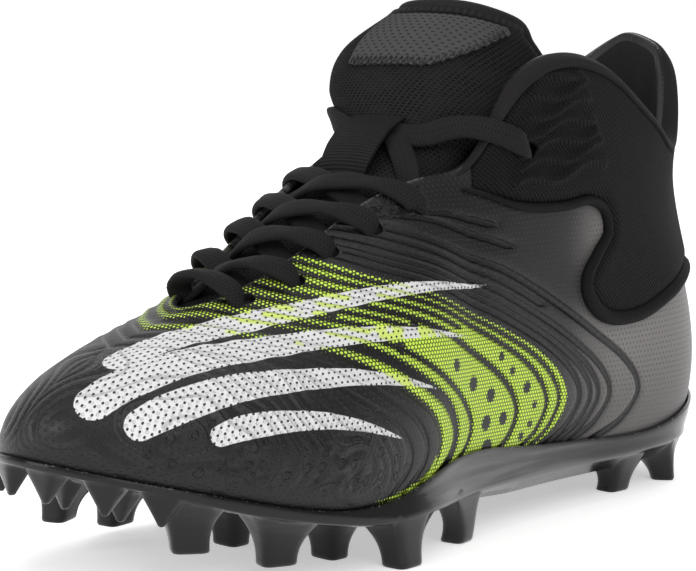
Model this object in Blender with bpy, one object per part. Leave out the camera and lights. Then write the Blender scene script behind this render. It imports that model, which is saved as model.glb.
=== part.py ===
"""Left high-cut field shoe with a moulded stud plate, standing empty on its studs.

Millimetres in the tables, metres in the scene. +X runs to the toe, +Y to the
outer side of the foot, +Z up, and the floor under the studs is Z = 0.
"""

import math

import bmesh
import bpy
import numpy as np
from mathutils import Vector
from mathutils.bvhtree import BVHTree

MM = 0.001

# Driving sizes of a men's 9
LENGTH = 292.0
BALL_WIDTH = 104.0
COLLAR_HEIGHT = 148.0
STUD_HEIGHT = 13.0
GAP = 0.3

# Walls and layers
SHELL_WALL = 2.2
COLLAR_PADDING = 3.4
CUFF_THICKNESS = 1.8
RIM_THICKNESS = 1.5
INSOLE_THICKNESS = 3.5

# Heights of the plate over the floor, and its rise under the toes
FOOTBED_Z = 17.5
HEEL_UNDERSIDE_Z = 8.5
TOE_SPRING = 19.0
SPRING_START_X = 50.0
SPRING_RUN = 88.0
SPRING_POWER = 1.3

# One row for each rib of the upper, from the heel round the outer side to the toe and back.
# along, across: foot of the rib, as shares of LENGTH and of half BALL_WIDTH.
# lean, rise: degrees outward from upright at the foot, and length of that handle.
# top_along, top_across, top_up: end of the rib at the collar or throat, shares of LENGTH, half
# BALL_WIDTH and COLLAR_HEIGHT. crown, reach: degrees below level at that end, and its handle.
# rim: height of the plate's side wall over the footbed. flare: how far that wall stands out.
# pad: share of the collar's padding.
RIB_COLUMNS = ("name", "along", "across", "lean", "rise", "top_along", "top_across", "top_up",
               "crown", "reach", "rim", "flare", "pad")
RIBS = (
    ("heel_back", 0.025, 0.00, 17, 46, 0.044, 0.00, 0.965, 108, 47, 13.0, 0.0, 1.0),
    ("heel_tab_out", 0.042, 0.28, 17, 45, 0.049, 0.19, 0.915, 105, 44, 11.0, 0.0, 1.0),
    ("heel_corner_out", 0.081, 0.48, 17, 43, 0.086, 0.37, 0.790, 101, 38, 8.0, 0.0, 1.0),
    ("heel_out", 0.170, 0.61, 14, 40, 0.146, 0.53, 0.788, 99, 36, 3.5, 0.0, 1.0),
    ("ankle_back_out", 0.288, 0.62, 11, 40, 0.218, 0.61, 0.875, 98, 40, 4.5, 0.0, 1.0),
    ("ankle_out", 0.390, 0.64, 10, 42, 0.308, 0.64, 0.957, 97, 45, 6.5, 0.5, 1.0),
    ("cuff_front_out", 0.483, 0.70, 10, 42, 0.424, 0.60, 0.890, 94, 43, 9.5, 1.0, 1.0),
    ("cuff_corner_out", 0.528, 0.74, 11, 40, 0.462, 0.50, 0.765, 78, 36, 9.5, 2.0, 0.8),
    ("instep_out", 0.570, 0.80, 13, 38, 0.504, 0.42, 0.736, 60, 32, 8.0, 3.0, 0.3),
    ("eyestay_out", 0.648, 0.885, 16, 36, 0.582, 0.30, 0.692, 48, 30, 3.5, 3.0, 0.0),
    ("ball_out", 0.733, 0.90, 20, 34, 0.658, 0.21, 0.605, 38, 28, 1.0, 1.0, 0.0),
    ("toe_out", 0.836, 0.75, 18, 30, 0.736, 0.12, 0.534, 26, 28, 1.0, 0.0, 0.0),
    ("toe_corner_out", 0.931, 0.33, 13, 25, 0.769, 0.02, 0.510, 20, 33, 1.0, 0.0, 0.0),
    ("toe_tip", 0.973, -0.17, 9, 21, 0.774, -0.09, 0.501, 20, 33, 1.0, 0.0, 0.0),
    ("toe_corner_in", 0.942, -0.52, 8, 20, 0.769, -0.19, 0.503, 22, 28, 1.0, 0.0, 0.0),
    ("toe_in", 0.866, -0.76, 10, 23, 0.736, -0.29, 0.524, 29, 26, 1.0, 0.0, 0.0),
    ("ball_in", 0.740, -0.87, 14, 30, 0.658, -0.37, 0.596, 41, 27, 1.0, 0.0, 0.0),
    ("eyestay_in", 0.630, -0.80, 13, 35, 0.582, -0.40, 0.690, 50, 30, 3.5, 1.0, 0.0),
    ("instep_in", 0.551, -0.72, 12, 38, 0.500, -0.47, 0.745, 62, 32, 8.0, 1.5, 0.3),
    ("cuff_corner_in", 0.507, -0.67, 10, 41, 0.448, -0.55, 0.770, 80, 36, 10.0, 1.0, 0.8),
    ("cuff_front_in", 0.459, -0.64, 9, 43, 0.406, -0.63, 0.890, 94, 43, 10.0, 0.5, 1.0),
    ("ankle_in", 0.377, -0.61, 9, 43, 0.302, -0.66, 0.957, 97, 45, 7.0, 0.0, 1.0),
    ("ankle_back_in", 0.281, -0.59, 10, 41, 0.220, -0.61, 0.905, 98, 40, 4.5, 0.0, 1.0),
    ("heel_in", 0.170, -0.58, 13, 40, 0.146, -0.53, 0.850, 99, 37, 3.5, 0.0, 1.0),
    ("heel_corner_in", 0.081, -0.46, 16, 43, 0.089, -0.38, 0.910, 101, 41, 8.0, 0.0, 1.0),
    ("heel_tab_in", 0.042, -0.27, 17, 45, 0.050, -0.20, 0.970, 106, 46, 11.0, 0.0, 1.0),
)
TOE_RIB = "toe_tip"
SIDE_STEPS = 30
# How far the crown of a rib turns from straight over its foot to straight out from the outline
CROWN_TURN = 15.0
# Step of share or height over which the surface's slope is read
SLOPE_STEP = 0.004
HALVINGS = 24


def column(name):
    """One column of the ribs."""
    place = RIB_COLUMNS.index(name)
    return np.array([row[place] for row in RIBS], float)


def footbed_z(x):
    """Height of the plate's top over the floor: level, and sprung up under the toes."""
    lift = np.clip((x - SPRING_START_X) / SPRING_RUN, 0, None) ** SPRING_POWER
    return FOOTBED_Z + TOE_SPRING * lift


class ClosedSpline:
    """A smooth closed curve through rows of values, read at shares of the way round."""

    def __init__(self, shares, values):
        self.t = np.append(shares, 1.0)
        self.y = np.vstack([values, values[:1]])
        count = len(values)
        gap = np.diff(self.t)
        slope = np.diff(self.y, axis=0) / gap[:, None]
        system = np.zeros((count, count))
        right = np.zeros_like(values)
        for i in range(count):
            before = gap[i - 1]
            system[i, i - 1] += before
            system[i, i] += 2 * (before + gap[i])
            system[i, (i + 1) % count] += gap[i]
            right[i] = 6 * (slope[i] - slope[i - 1])
        bend = np.linalg.solve(system, right)
        self.bend = np.vstack([bend, bend[:1]])

    def __call__(self, share):
        share = np.asarray(share) % 1.0
        i = np.clip(np.searchsorted(self.t, share, side="right") - 1, 0, len(self.t) - 2)
        gap = (self.t[i + 1] - self.t[i])[..., None]
        a = (self.t[i + 1] - share)[..., None] / gap
        b = 1 - a
        curve = (a**3 - a) * self.bend[i] + (b**3 - b) * self.bend[i + 1]
        return a * self.y[i] + b * self.y[i + 1] + curve * gap**2 / 6


def unit(v):
    """Vectors of length one."""
    return v / np.maximum(np.linalg.norm(v, axis=-1, keepdims=True), 1e-9)


def rib_handles():
    """Foot, lower handle, upper handle and top of every rib, and its share of the way round."""
    foot = np.stack([(column("along") - 0.5) * LENGTH, column("across") * BALL_WIDTH / 2], axis=1)
    foot = np.column_stack([foot, footbed_z(foot[:, 0]) + GAP])
    top = np.stack([(column("top_along") - 0.5) * LENGTH, column("top_across") * BALL_WIDTH / 2,
                    column("top_up") * COLLAR_HEIGHT], axis=1)
    steps = np.linalg.norm(np.diff(np.vstack([foot, foot[:1]])[:, :2], axis=0), axis=1)
    shares = np.concatenate([[0], np.cumsum(steps)[:-1]]) / steps.sum()
    along = np.roll(foot, -1, axis=0) - np.roll(foot, 1, axis=0)
    outward = unit(np.stack([-along[:, 1], along[:, 0], 0 * along[:, 0]], axis=1))
    up = np.array([0.0, 0.0, 1.0])
    lean = np.radians(column("lean"))[:, None]
    crown = np.radians(column("crown"))[:, None]
    lower = foot + column("rise")[:, None] * (outward * np.sin(lean) + up * np.cos(lean))
    spread = (foot - top) * [1, 1, 0] + outward * CROWN_TURN
    upper = top + column("reach")[:, None] * (unit(spread) * np.cos(crown) - up * np.sin(crown))
    return shares, foot, lower, upper, top


SHARES, *HANDLES = rib_handles()
CURVES = [ClosedSpline(SHARES, handle) for handle in HANDLES]
SIZES = ClosedSpline(SHARES, np.stack([column("rim"), column("flare"), column("pad")], axis=1))


def share_of(name):
    """Share of the way round at a rib."""
    return SHARES[[row[0] for row in RIBS].index(name)]


TOE_SHARE = share_of(TOE_RIB)


def form(share, height):
    """Outer surface of the upper: share of the way round the foot, 0 at the sole to 1 at the edge."""
    a, b, c, d = (curve(share) for curve in CURVES)
    v = np.asarray(height)[..., None]
    return (1 - v) ** 3 * a + 3 * (1 - v) ** 2 * v * b + 3 * (1 - v) * v**2 * c + v**3 * d


def form_normal(share, height):
    """Direction straight out of the form."""
    share, height = np.broadcast_arrays(share, height)
    low, high = np.clip(height - SLOPE_STEP, 0, 1), np.clip(height + SLOPE_STEP, 0, 1)
    along = form(share + SLOPE_STEP, height) - form(share - SLOPE_STEP, height)
    upward = form(share, high) - form(share, low)
    return unit(np.cross(upward, along))


def skin(share, height, offset):
    """A point on the form moved out, or in where offset is negative, along its normal."""
    share, height = np.broadcast_arrays(share, height)
    offset = np.broadcast_to(offset, share.shape)
    return form(share, height) + form_normal(share, height) * offset[..., None]


def smooth_step(low, high, value):
    """Eased rise from 0 at low to 1 at high."""
    t = np.clip((value - low) / (high - low), 0, 1)
    return t * t * (3 - 2 * t)


def round_shares(steps=SIDE_STEPS):
    """Shares of the way round, in pairs across the foot: heel, outer side, toe, inner side."""
    out = TOE_SHARE * np.arange(steps + 1) / steps
    back = 1 - (1 - TOE_SHARE) * np.arange(steps - 1, 0, -1) / steps
    return np.concatenate([out, back])


def height_where(share, highest, is_below):
    """Height share up to which the form lies below a limit, found by halving."""
    low, high = np.zeros_like(share), np.full_like(share, highest)
    for _ in range(HALVINGS):
        middle = (low + high) / 2
        below = is_below(form(share, middle))
        low, high = np.where(below, middle, low), np.where(below, high, middle)
    return low


def find_on_form(side, x, z):
    """Share and height of the place on the outer (1) or inner (-1) side with this x and z."""
    lowest, highest = (0.0, TOE_SHARE) if side > 0 else (TOE_SHARE, 1.0)
    share, height = np.meshgrid(np.linspace(lowest, highest, 240), np.linspace(0.2, 1, 160))
    place = form(share, height)
    best = np.argmin((place[..., 0] - x) ** 2 + (place[..., 2] - z) ** 2)
    found = np.array([share.flat[best], height.flat[best]])
    step = 1e-4
    for _ in range(4):
        here = form(*found)[[0, 2]]
        along = form(found[0] + step, found[1])[[0, 2]] - here
        upward = form(found[0], found[1] + step)[[0, 2]] - here
        found = found + step * np.linalg.solve(np.column_stack([along, upward]), [x, z] - here)
    return found


def fresh_scene():
    """Empties the scene and makes the collections for parts and cutters."""
    for obj in list(bpy.data.objects):
        bpy.data.objects.remove(obj)
    for name in ("field_shoe", "cutters"):
        bpy.context.scene.collection.children.link(bpy.data.collections.new(name))


def paint(obj, name, colour, roughness):
    """Gives a piece its own plain material."""
    material = bpy.data.materials.get(name) or bpy.data.materials.new(name)
    material.use_nodes = True
    shader = material.node_tree.nodes["Principled BSDF"]
    shader.inputs["Base Color"].default_value = (*colour, 1)
    shader.inputs["Roughness"].default_value = roughness
    shader.inputs["Metallic"].default_value = 0.0
    obj.data.materials.clear()
    obj.data.materials.append(material)


def loft(name, rings, ends="pointed", closed_rings=False, collection="field_shoe"):
    """One object through rings of as many points each, with its ends capped or joined to each other.
    An end is closed by one flat face, or by strips across a ring that is pointed or blunt at both ends."""
    mesh = bpy.data.meshes.new(name)
    obj = bpy.data.objects.new(name, mesh)
    bpy.data.collections[collection].objects.link(obj)
    shell = bmesh.new()
    rows = [[shell.verts.new(Vector(p) * MM) for p in ring] for ring in rings]
    count = len(rows[0])
    pairs = list(zip(rows, rows[1:]))
    if closed_rings:
        pairs.append((rows[-1], rows[0]))
    elif ends == "flat":
        shell.faces.new(rows[0])
        shell.faces.new(rows[-1])
    else:
        cap_across(shell, rows[0], ends == "blunt")
        cap_across(shell, rows[-1], ends == "blunt")
    for low, high in pairs:
        for i in range(count):
            j = (i + 1) % count
            shell.faces.new((low[i], low[j], high[j], high[i]))
    bmesh.ops.recalc_face_normals(shell, faces=shell.faces)
    shell.to_mesh(mesh)
    shell.free()
    mesh.shade_smooth()
    mesh.set_sharp_from_angle(angle=math.radians(38))
    return obj


def cap_across(shell, ring, blunt):
    """Closes a ring by strips across it: each point on one side to its pair on the other.
    A blunt ring starts and ends with a pair of points, a pointed one with a single point."""
    count = len(ring)
    last = -1 if blunt else 0
    for k in range(count // 2 + last):
        pairs = ring[k], ring[k + 1], ring[last - k - 1], ring[(last - k) % count]
        shell.faces.new(list(dict.fromkeys(pairs)))


def level(points, z):
    """The same points at another height."""
    flat = np.array(points, float)
    flat[:, 2] = z
    return flat


def combine(obj, other, operation):
    """Joins another closed solid to this one, or cuts it out."""
    modifier = obj.modifiers.new(other.name, "BOOLEAN")
    modifier.operation = operation
    modifier.object = other
    other.hide_render = True
    other.display_type = "WIRE"


# Sole plate

PLATE_INSET = 6.0
CHINE_OUTSET = 1.6
CHINE_DROP = 3.0
TOE_EDGE = 3.5
LEAST_RIM = 0.8
RIM_CLEARANCE = 0.45
HIGHEST_RIM = 0.6
ARCH_X = (-35.0, 25.0)
THIN_TOE_X = (60.0, 125.0)
# Share of the rim's height where it turns upright, and shares of the flare that it keeps up to there
RIM_TURN = 0.55
FLARE_AT_BED, FLARE_AT_TURN = 0.6, 0.2
RIM_TAPER = 0.8


def underside_z(x):
    """Underside of the plate: thin under ball and toe, thick under arch and heel."""
    arch = smooth_step(*ARCH_X, x) * (STUD_HEIGHT - HEEL_UNDERSIDE_Z)
    toe = smooth_step(*THIN_TOE_X, x) * (FOOTBED_Z - STUD_HEIGHT - TOE_EDGE)
    return HEEL_UNDERSIDE_Z + arch + toe + footbed_z(x) - FOOTBED_Z


def plate_rings():
    """Rings of the plate from its underside out over the chine, up its side wall and in to the bed."""
    share = round_shares()
    rim, flare, _ = SIZES(share).T
    flare = np.clip(flare, 0, None)
    foot = form(share, 0 * share)
    bed = foot[:, 2] - GAP
    rim_top = foot[:, 2] + np.maximum(rim, LEAST_RIM)
    edge = height_where(share, HIGHEST_RIM, lambda place: place[:, 2] < rim_top)
    outward = unit(form_normal(share, 0 * share) * [1, 1, 0])
    side = GAP + RIM_THICKNESS
    return [
        level(foot + outward * (flare - PLATE_INSET)[:, None], underside_z(foot[:, 0])),
        level(foot + outward * (flare + CHINE_OUTSET)[:, None], bed - CHINE_DROP),
        level(foot + outward * (side + flare * FLARE_AT_BED)[:, None], bed),
        skin(share, edge * RIM_TURN, side + flare * FLARE_AT_TURN),
        skin(share, edge, GAP + RIM_THICKNESS * RIM_TAPER),
        skin(share, edge, RIM_CLEARANCE),
        level(foot + outward * RIM_CLEARANCE, bed),
    ]


# One row for each stud and toe tooth: place of its tip as shares of LENGTH and of half BALL_WIDTH,
# length and width of the tip, turn of its long side from the shoe's line in degrees, how far it
# stands below the plate (0 where it runs to the floor), and how far its root lies inward of its tip.
STUD_COLUMNS = ("name", "along", "across", "long", "wide", "turn", "drop", "inward")
STUDS = (
    ("heel_rear_out", 0.100, 0.44, 10, 8, 40, 8.5, 2.0),
    ("heel_rear_in", 0.100, -0.42, 10, 8, -40, 8.5, 2.0),
    ("heel_front_out", 0.194, 0.44, 10, 8, 0, 8.5, 1.0),
    ("heel_front_in", 0.194, -0.43, 10, 8, 0, 8.5, 1.0),
    ("waist_out", 0.513, 0.69, 9, 8, 12, 0, 1.5),
    ("waist_in", 0.510, -0.60, 9, 8, -12, 0, 1.5),
    ("ball_out", 0.634, 0.88, 11, 9, 5, 13.0, 2.0),
    ("ball_in", 0.630, -0.78, 11, 9, -5, 13.0, 1.0),
    ("inner_out", 0.660, 0.46, 10, 8, 90, 13.0, 0.0),
    ("inner_in", 0.700, -0.10, 10, 8, 90, 13.0, 0.0),
    ("tread_out", 0.766, 0.62, 11, 8, -20, 13.0, 1.0),
    ("tread_in", 0.745, -0.80, 11, 8, 8, 13.0, 1.0),
    ("front_out", 0.848, 0.42, 11, 8, -35, 13.0, 1.0),
    ("front_in", 0.838, -0.70, 11, 8, 22, 13.0, 1.0),
    ("tooth_1", 0.914, -0.60, 2.5, 2.5, 55, 7.0, 2.0),
    ("tooth_2", 0.938, -0.37, 2.5, 2.5, 72, 7.0, 2.0),
    ("tooth_3", 0.943, -0.06, 2.5, 2.5, 95, 7.0, 2.0),
    ("tooth_4", 0.922, 0.24, 2.5, 2.5, 118, 7.0, 2.0),
    ("tooth_5", 0.890, 0.47, 2.5, 2.5, 130, 7.0, 2.0),
    ("tooth_6", 0.890, -0.32, 2.5, 2.5, 80, 8.5, 0.0),
    ("tooth_7", 0.882, 0.08, 2.5, 2.5, 100, 8.5, 0.0),
)
STUD_SIDES = 12
TOOTH_SIDES = 8
ROOT_DEPTH = 2.0
CORNER_POWER = 0.55
TOOTH_BREADTH = 0.3
# Roots lie inward of tips along this share of the way to the shoe's middle, more across than along
INWARD_ALONG = 0.35
# Growth of a stud over its tip at each share of its drop, and of a tooth, which only tapers
STUD_FLARE = ((0.0, 7.5), (0.2, 4.0), (0.5, 1.8), (1.0, 0.0))
TOOTH_FLARE = ((0.0, 9.0), (0.2, 7.2), (0.6, 3.6), (1.0, 0.0))


def rounded_ring(centre, long, wide, turn, sides):
    """A ring of a rounded rectangle about a point."""
    angle = np.linspace(0, 2 * math.pi, sides, endpoint=False)
    c, s = np.cos(angle), np.sin(angle)
    x = np.sign(c) * np.abs(c) ** CORNER_POWER * long / 2
    y = np.sign(s) * np.abs(s) ** CORNER_POWER * wide / 2
    yaw = math.radians(turn)
    return np.stack([centre[0] + x * math.cos(yaw) - y * math.sin(yaw),
                     centre[1] + x * math.sin(yaw) + y * math.cos(yaw),
                     np.full(sides, centre[2])], axis=1)


def stud(row):
    """One stud or tooth, flared to its root inside the plate."""
    item = dict(zip(STUD_COLUMNS, row))
    tooth = item["name"].startswith("tooth")
    sides = TOOTH_SIDES if tooth else STUD_SIDES
    tip = np.array([(item["along"] - 0.5) * LENGTH, item["across"] * BALL_WIDTH / 2, 0.0])
    root_z = float(underside_z(tip[0]))
    tip[2] = root_z - item["drop"] if item["drop"] else 0.0
    root = tip - unit(np.array([INWARD_ALONG * tip[0], tip[1], 0])) * item["inward"]
    root[2] = root_z
    rings = []
    for share, growth in TOOTH_FLARE if tooth else STUD_FLARE:
        across = growth * (TOOTH_BREADTH if tooth else 1.0)
        size = item["long"] + growth, item["wide"] + across
        if not rings:
            rings.append(rounded_ring(root + [0, 0, ROOT_DEPTH], *size, item["turn"], sides))
        rings.append(rounded_ring(root + (tip - root) * share, *size, item["turn"], sides))
    return loft("stud_" + item["name"], rings, collection="cutters")


def sole_plate():
    """Moulded plate with a cupped side wall, its studs and toe teeth."""
    plate = loft("sole_plate", plate_rings())
    for row in STUDS:
        combine(plate, stud(row), "UNION")
    paint(plate, "moulded_plate", (0.03, 0.03, 0.032), 0.25)
    return plate


# Upper

OUTER_STEPS = 13
INNER_STEPS = 8
ROLL_START = 0.93
ROLL_STEP = 0.006
PADDED_FROM, PADDED_FULL = 0.45, 0.8
ROLL_PAD = (0.35, 0.95)
CREST_SHARE = 0.3
EYELET_RADIUS = 2.4
EYELET_DEPTH = 9.0
# Places of the eyelets on both sides, from the toe back: x and z in millimetres
EYELETS = ((69.0, 77.5), (54.0, 82.0), (40.5, 89.5), (26.0, 95.5), (10.0, 100.5))
CUFF_EYELET = (-29.0, 116.0)


def wall_at(share, height):
    """Thickness of the upper's wall: one layer below, padded towards the collar."""
    pad = np.clip(SIZES(share)[..., 2], 0, 1)
    return SHELL_WALL + COLLAR_PADDING * pad * smooth_step(PADDED_FROM, PADDED_FULL, height)


def roll_at(share, height):
    """Step of the collar's rolled edge, level with the cuff below it."""
    pad = smooth_step(*ROLL_PAD, SIZES(share)[..., 2])
    return (GAP + CUFF_THICKNESS) * pad * (height > ROLL_START)


def eyelet_cutters():
    """One rod across each eyelet, square to the upper there."""
    for side in (1, -1):
        for number, (x, z) in enumerate((*EYELETS, CUFF_EYELET), start=1):
            share, height = find_on_form(side, x, z)
            place, normal = form(share, height), form_normal(share, height)
            bpy.ops.mesh.primitive_cylinder_add(vertices=8, radius=EYELET_RADIUS * MM,
                                                depth=2 * EYELET_DEPTH * MM, location=place * MM)
            rod = bpy.context.object
            rod.name = f"eyelet_{'out' if side > 0 else 'in'}_{number}"
            rod.rotation_euler = Vector(normal).to_track_quat("Z", "Y").to_euler()
            for home in rod.users_collection:
                home.objects.unlink(rod)
            bpy.data.collections["cutters"].objects.link(rod)
            yield rod


def upper(rods):
    """Hollow shell: up its outer skin, over the rounded edge and down its lining."""
    share = round_shares()
    top = np.ones_like(share)
    levels = sorted([*np.linspace(0, 1, OUTER_STEPS), ROLL_START, ROLL_START + ROLL_STEP])
    rings = [skin(share, top * v, roll_at(share, v)) for v in levels]
    wall, roll = wall_at(share, 1.0), roll_at(share, 1.0)
    upward = unit(form(share, top) - form(share, top * ROLL_START))
    crest = upward * ((wall + roll) * CREST_SHARE)[:, None]
    rings.append(skin(share, top, (roll - wall) / 2) + crest)
    rings += [skin(share, top * v, -wall_at(share, v)) for v in np.linspace(1, 0, INNER_STEPS)]
    shell = loft("upper", rings, closed_rings=True)
    for rod in rods:
        combine(shell, rod, "DIFFERENCE")
    paint(shell, "film_shell", (0.03, 0.03, 0.03), 0.45)
    return shell


# Ankle cuff

# Lower edge of the cuff on both sides, from the throat to the heel: x and z in millimetres. It steps
# down behind the ankle in a deep S and runs round the heel.
SEAM = ((30, 120), (4, 110), (-12, 105), (-27, 100.5), (-45, 99.3), (-59, 100.2), (-68, 96), (-70.5, 87),
        (-64, 80), (-58.5, 73), (-62, 66.5), (-71, 62), (-86, 61.8), (-103, 66), (-122, 71), (-146, 74))
SEAM_STEPS = 4
CUFF_TOP = ROLL_START - 0.004
CUFF_LEVELS = (4 / 12, 6 / 12, 8 / 12, 10 / 12, 11 / 12, CUFF_TOP)
CUFF_LIFT = 0.5
CUFF_FRONT = ("cuff_corner_out", "cuff_corner_in")
CUT_BELOW = 20.0
CUT_REACH = 70.0
PIPING_RADIUS = 1.5
PIPING_LIFT = 0.6
PIPING_SIDE = 0.8
PIPING_SIDES = 5
PIPING_FRONT_X = -14.0
PIPING_HEEL_X = -112.0
PIPING_HEEL_POINTS = 11


def smooth_row(rows, share):
    """Values at a share of the way along a table, by a smooth curve through its rows."""
    rows = np.array(rows, float)
    place = np.asarray(share, float) * (len(rows) - 1)
    i = np.clip(place.astype(int), 0, len(rows) - 2)
    t = (place - i)[..., None]
    before, after = rows[np.maximum(i - 1, 0)], rows[np.minimum(i + 2, len(rows) - 1)]
    start, end = rows[i], rows[i + 1]
    bend = 2 * before - 5 * start + 4 * end - after
    return start + 0.5 * t * ((end - before) + t * (bend + t * (3 * (start - end) + after - before)))


def seam_outline():
    """The seam from the side, x and z, as a smooth curve."""
    return smooth_row(SEAM, np.linspace(0, 1, SEAM_STEPS * (len(SEAM) - 1) + 1))


def seam_cutter():
    """A block across the shoe that holds all below the seam."""
    edge = seam_outline()
    outline = np.vstack([edge, [edge[-1, 0], CUT_BELOW], [edge[0, 0], CUT_BELOW]])
    rings = [np.stack([outline[:, 0], np.full(len(outline), y), outline[:, 1]], axis=1)
             for y in (-CUT_REACH, CUT_REACH)]
    return loft("below_seam", rings, ends="flat", collection="cutters")


def ankle_cuff(rods):
    """Padded layer on the upper between the seam and the collar's rolled edge, round the heel."""
    share = round_shares()
    front, back = (share_of(name) for name in CUFF_FRONT)
    share = np.concatenate([share[share > back], share[share < front]])
    inner, outer = ([skin(share, np.full_like(share, v), offset) for v in CUFF_LEVELS]
                    for offset in (CUFF_LIFT, CUFF_LIFT + CUFF_THICKNESS))
    rings = np.array([*outer, *inner[::-1]]).transpose(1, 0, 2)
    cuff = loft("ankle_cuff", rings, ends="blunt")
    combine(cuff, seam_cutter(), "DIFFERENCE")
    for rod in rods:
        combine(cuff, rod, "DIFFERENCE")
    paint(cuff, "cuff_mesh", (0.03, 0.03, 0.03), 0.9)
    return cuff


def seam_on_form():
    """Share and height of points along the seam, from the outer throat round the heel to the inner."""
    edge = seam_outline()
    sides = edge[(edge[:, 0] < PIPING_FRONT_X) & (edge[:, 0] > PIPING_HEEL_X)][::2]
    outer, inner = ([find_on_form(side, x, z) for x, z in sides] for side in (1, -1))
    share = np.linspace(outer[-1][0], inner[-1][0] - 1, PIPING_HEEL_POINTS + 2)[1:-1]
    heel = edge[edge[:, 0] < PIPING_HEEL_X][::-1]
    height = height_where(share, ROLL_START,
                          lambda place: place[:, 2] < np.interp(place[:, 0], heel[:, 0], heel[:, 1]))
    return np.vstack([outer, np.column_stack([share, height]), inner[::-1]])


def tube(name, points, normals, half_width, half_height, sides, collection="field_shoe"):
    """A cord of oval section along points, its width lying square to the normals."""
    along = unit(np.gradient(points, axis=0))
    up = unit(normals - along * np.sum(normals * along, axis=1, keepdims=True))
    across = np.cross(along, up)
    angle = np.linspace(0, 2 * math.pi, sides, endpoint=False)
    rings = [p + half_width * np.cos(angle)[:, None] * a + half_height * np.sin(angle)[:, None] * u
             for p, a, u in zip(points, across, up)]
    return loft(name, rings, ends="pointed", collection=collection)


def cuff_piping():
    """Round cord in the seam, along the cuff's lower edge."""
    share, height = seam_on_form().T
    normal = form_normal(share, height)
    points = skin(share, height, PIPING_RADIUS + PIPING_LIFT)
    points += np.cross(unit(np.gradient(points, axis=0)), normal) * (PIPING_RADIUS + PIPING_SIDE)
    cord = tube("cuff_piping", points, normal, PIPING_RADIUS, PIPING_RADIUS, PIPING_SIDES)
    paint(cord, "seam_cord", (0.02, 0.02, 0.02), 0.6)
    return cord


# Insole

INSOLE_MARGIN = 4.3
INSOLE_SEAT = 1.0
INSOLE_ENDS = 3
INSOLE_EDGE = 0.8


def insole():
    """Sock liner on the plate, inside the upper's wall, on the same strips across as the footbed."""
    bed = plate_rings()[-1]
    last = SIDE_STEPS - INSOLE_ENDS
    out, back = bed[INSOLE_ENDS:last + 1], bed[-INSOLE_ENDS:-last - 1:-1]
    middle, half = (out + back) / 2, (out - back) / 2
    width = np.linalg.norm(half, axis=1, keepdims=True)
    rings = []
    for up, inset in ((0, INSOLE_EDGE), (INSOLE_EDGE, 0), (INSOLE_THICKNESS, INSOLE_EDGE)):
        reach = half * (1 - (INSOLE_MARGIN + inset) / width)
        ring = np.vstack([middle + reach, (middle - reach)[::-1]])
        rings.append(ring + [0, 0, INSOLE_SEAT + up])
    liner = loft("insole", rings, ends="blunt")
    paint(liner, "sock_liner", (0.04, 0.04, 0.04), 0.9)
    return liner


# Tongue

# One row for each section from under the vamp to the free top: middle of its front as x, across
# and z, half width, how far its edges lie behind its middle, thickness, turn to the outer side.
TONGUE_COLUMNS = ("x", "across", "z", "half_width", "wrap", "thick", "turn")
TONGUE_ROWS = (
    (95, -4.5, 65.6, 12, 2.5, 2.5, 0),
    (80, -4.5, 70.8, 15, 3.5, 3.0, 0),
    (58, -3.5, 80.5, 20, 6.5, 4.0, 0),
    (36, -3.0, 93.5, 23, 10.0, 5.0, 0),
    (14, -2.0, 106.0, 22, 12.0, 6.0, 2),
    (-1, -1.5, 119.0, 20.5, 15.0, 7.0, 6),
    (-9, -2.5, 134.0, 28, 15.0, 7.5, 16),
    (-16, -1.0, 147.0, 29, 14.0, 7.5, 20),
    (-22, 2.0, 159.5, 19, 9.0, 6.0, 20),
)
TONGUE_SECTIONS = 17
TONGUE_ARC = 12


def tongue_sizes(share):
    """Sizes of the tongue's section at a share of its length, by their columns' names."""
    return dict(zip(TONGUE_COLUMNS, np.moveaxis(smooth_row(TONGUE_ROWS, share), -1, 0)))


def tongue_point(share, turn, depth):
    """A point of the tongue: share up it, turn across it from -1 to 1, depth behind its front."""
    share, turn = np.broadcast_arrays(np.asarray(share, float), np.asarray(turn, float))
    size = tongue_sizes(share)
    above, under = (tongue_sizes(np.clip(share + step, 0, 1)) for step in (SLOPE_STEP, -SLOPE_STEP))
    upward = unit(np.stack([above["x"] - under["x"], 0 * share, above["z"] - under["z"]], axis=-1))
    behind = np.stack([-upward[..., 2], 0 * share, upward[..., 0]], axis=-1)
    angle = turn * math.pi / 2
    side = np.maximum(size["half_width"] - depth, 1) * np.sin(angle)
    back = depth + size["wrap"] * (1 - np.cos(angle))
    yaw = np.radians(size["turn"])
    middle = np.stack([size["x"] - side * np.sin(yaw), size["across"] + side * np.cos(yaw), size["z"]],
                      axis=-1)
    return middle + behind * back[..., None]


def tongue():
    """Padded tongue, from under the vamp to its free top."""
    turns = np.linspace(-1, 1, TONGUE_ARC + 1)
    rings = []
    for share in np.linspace(0, 1, TONGUE_SECTIONS):
        thick = tongue_sizes(share)["thick"]
        front = tongue_point(share, turns, 0)
        back = tongue_point(share, turns[::-1], thick)
        rings.append(np.vstack([front, back]))
    pad = loft("tongue", rings, ends="blunt")
    paint(pad, "tongue_mesh", (0.03, 0.03, 0.03), 0.9)
    return pad


# Patch and lace loop on the tongue

LAYER = 1.2
PATCH_SHARES = (13 / 16, 14 / 16, 15 / 16, 0.985)
PATCH_TURNS = np.arange(-3, 5) / 6
LOOP_TURNS = np.arange(-2, 2) / 6
# One row for each section of the loop: share of the way up the tongue, and its height over it
LOOP_ROWS = ((0.505, 0.6), (0.53, 3.6), (9 / 16, 5.4), (0.59, 5.8), (10 / 16, 5.4), (0.65, 3.6),
             (0.675, 0.6))


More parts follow.
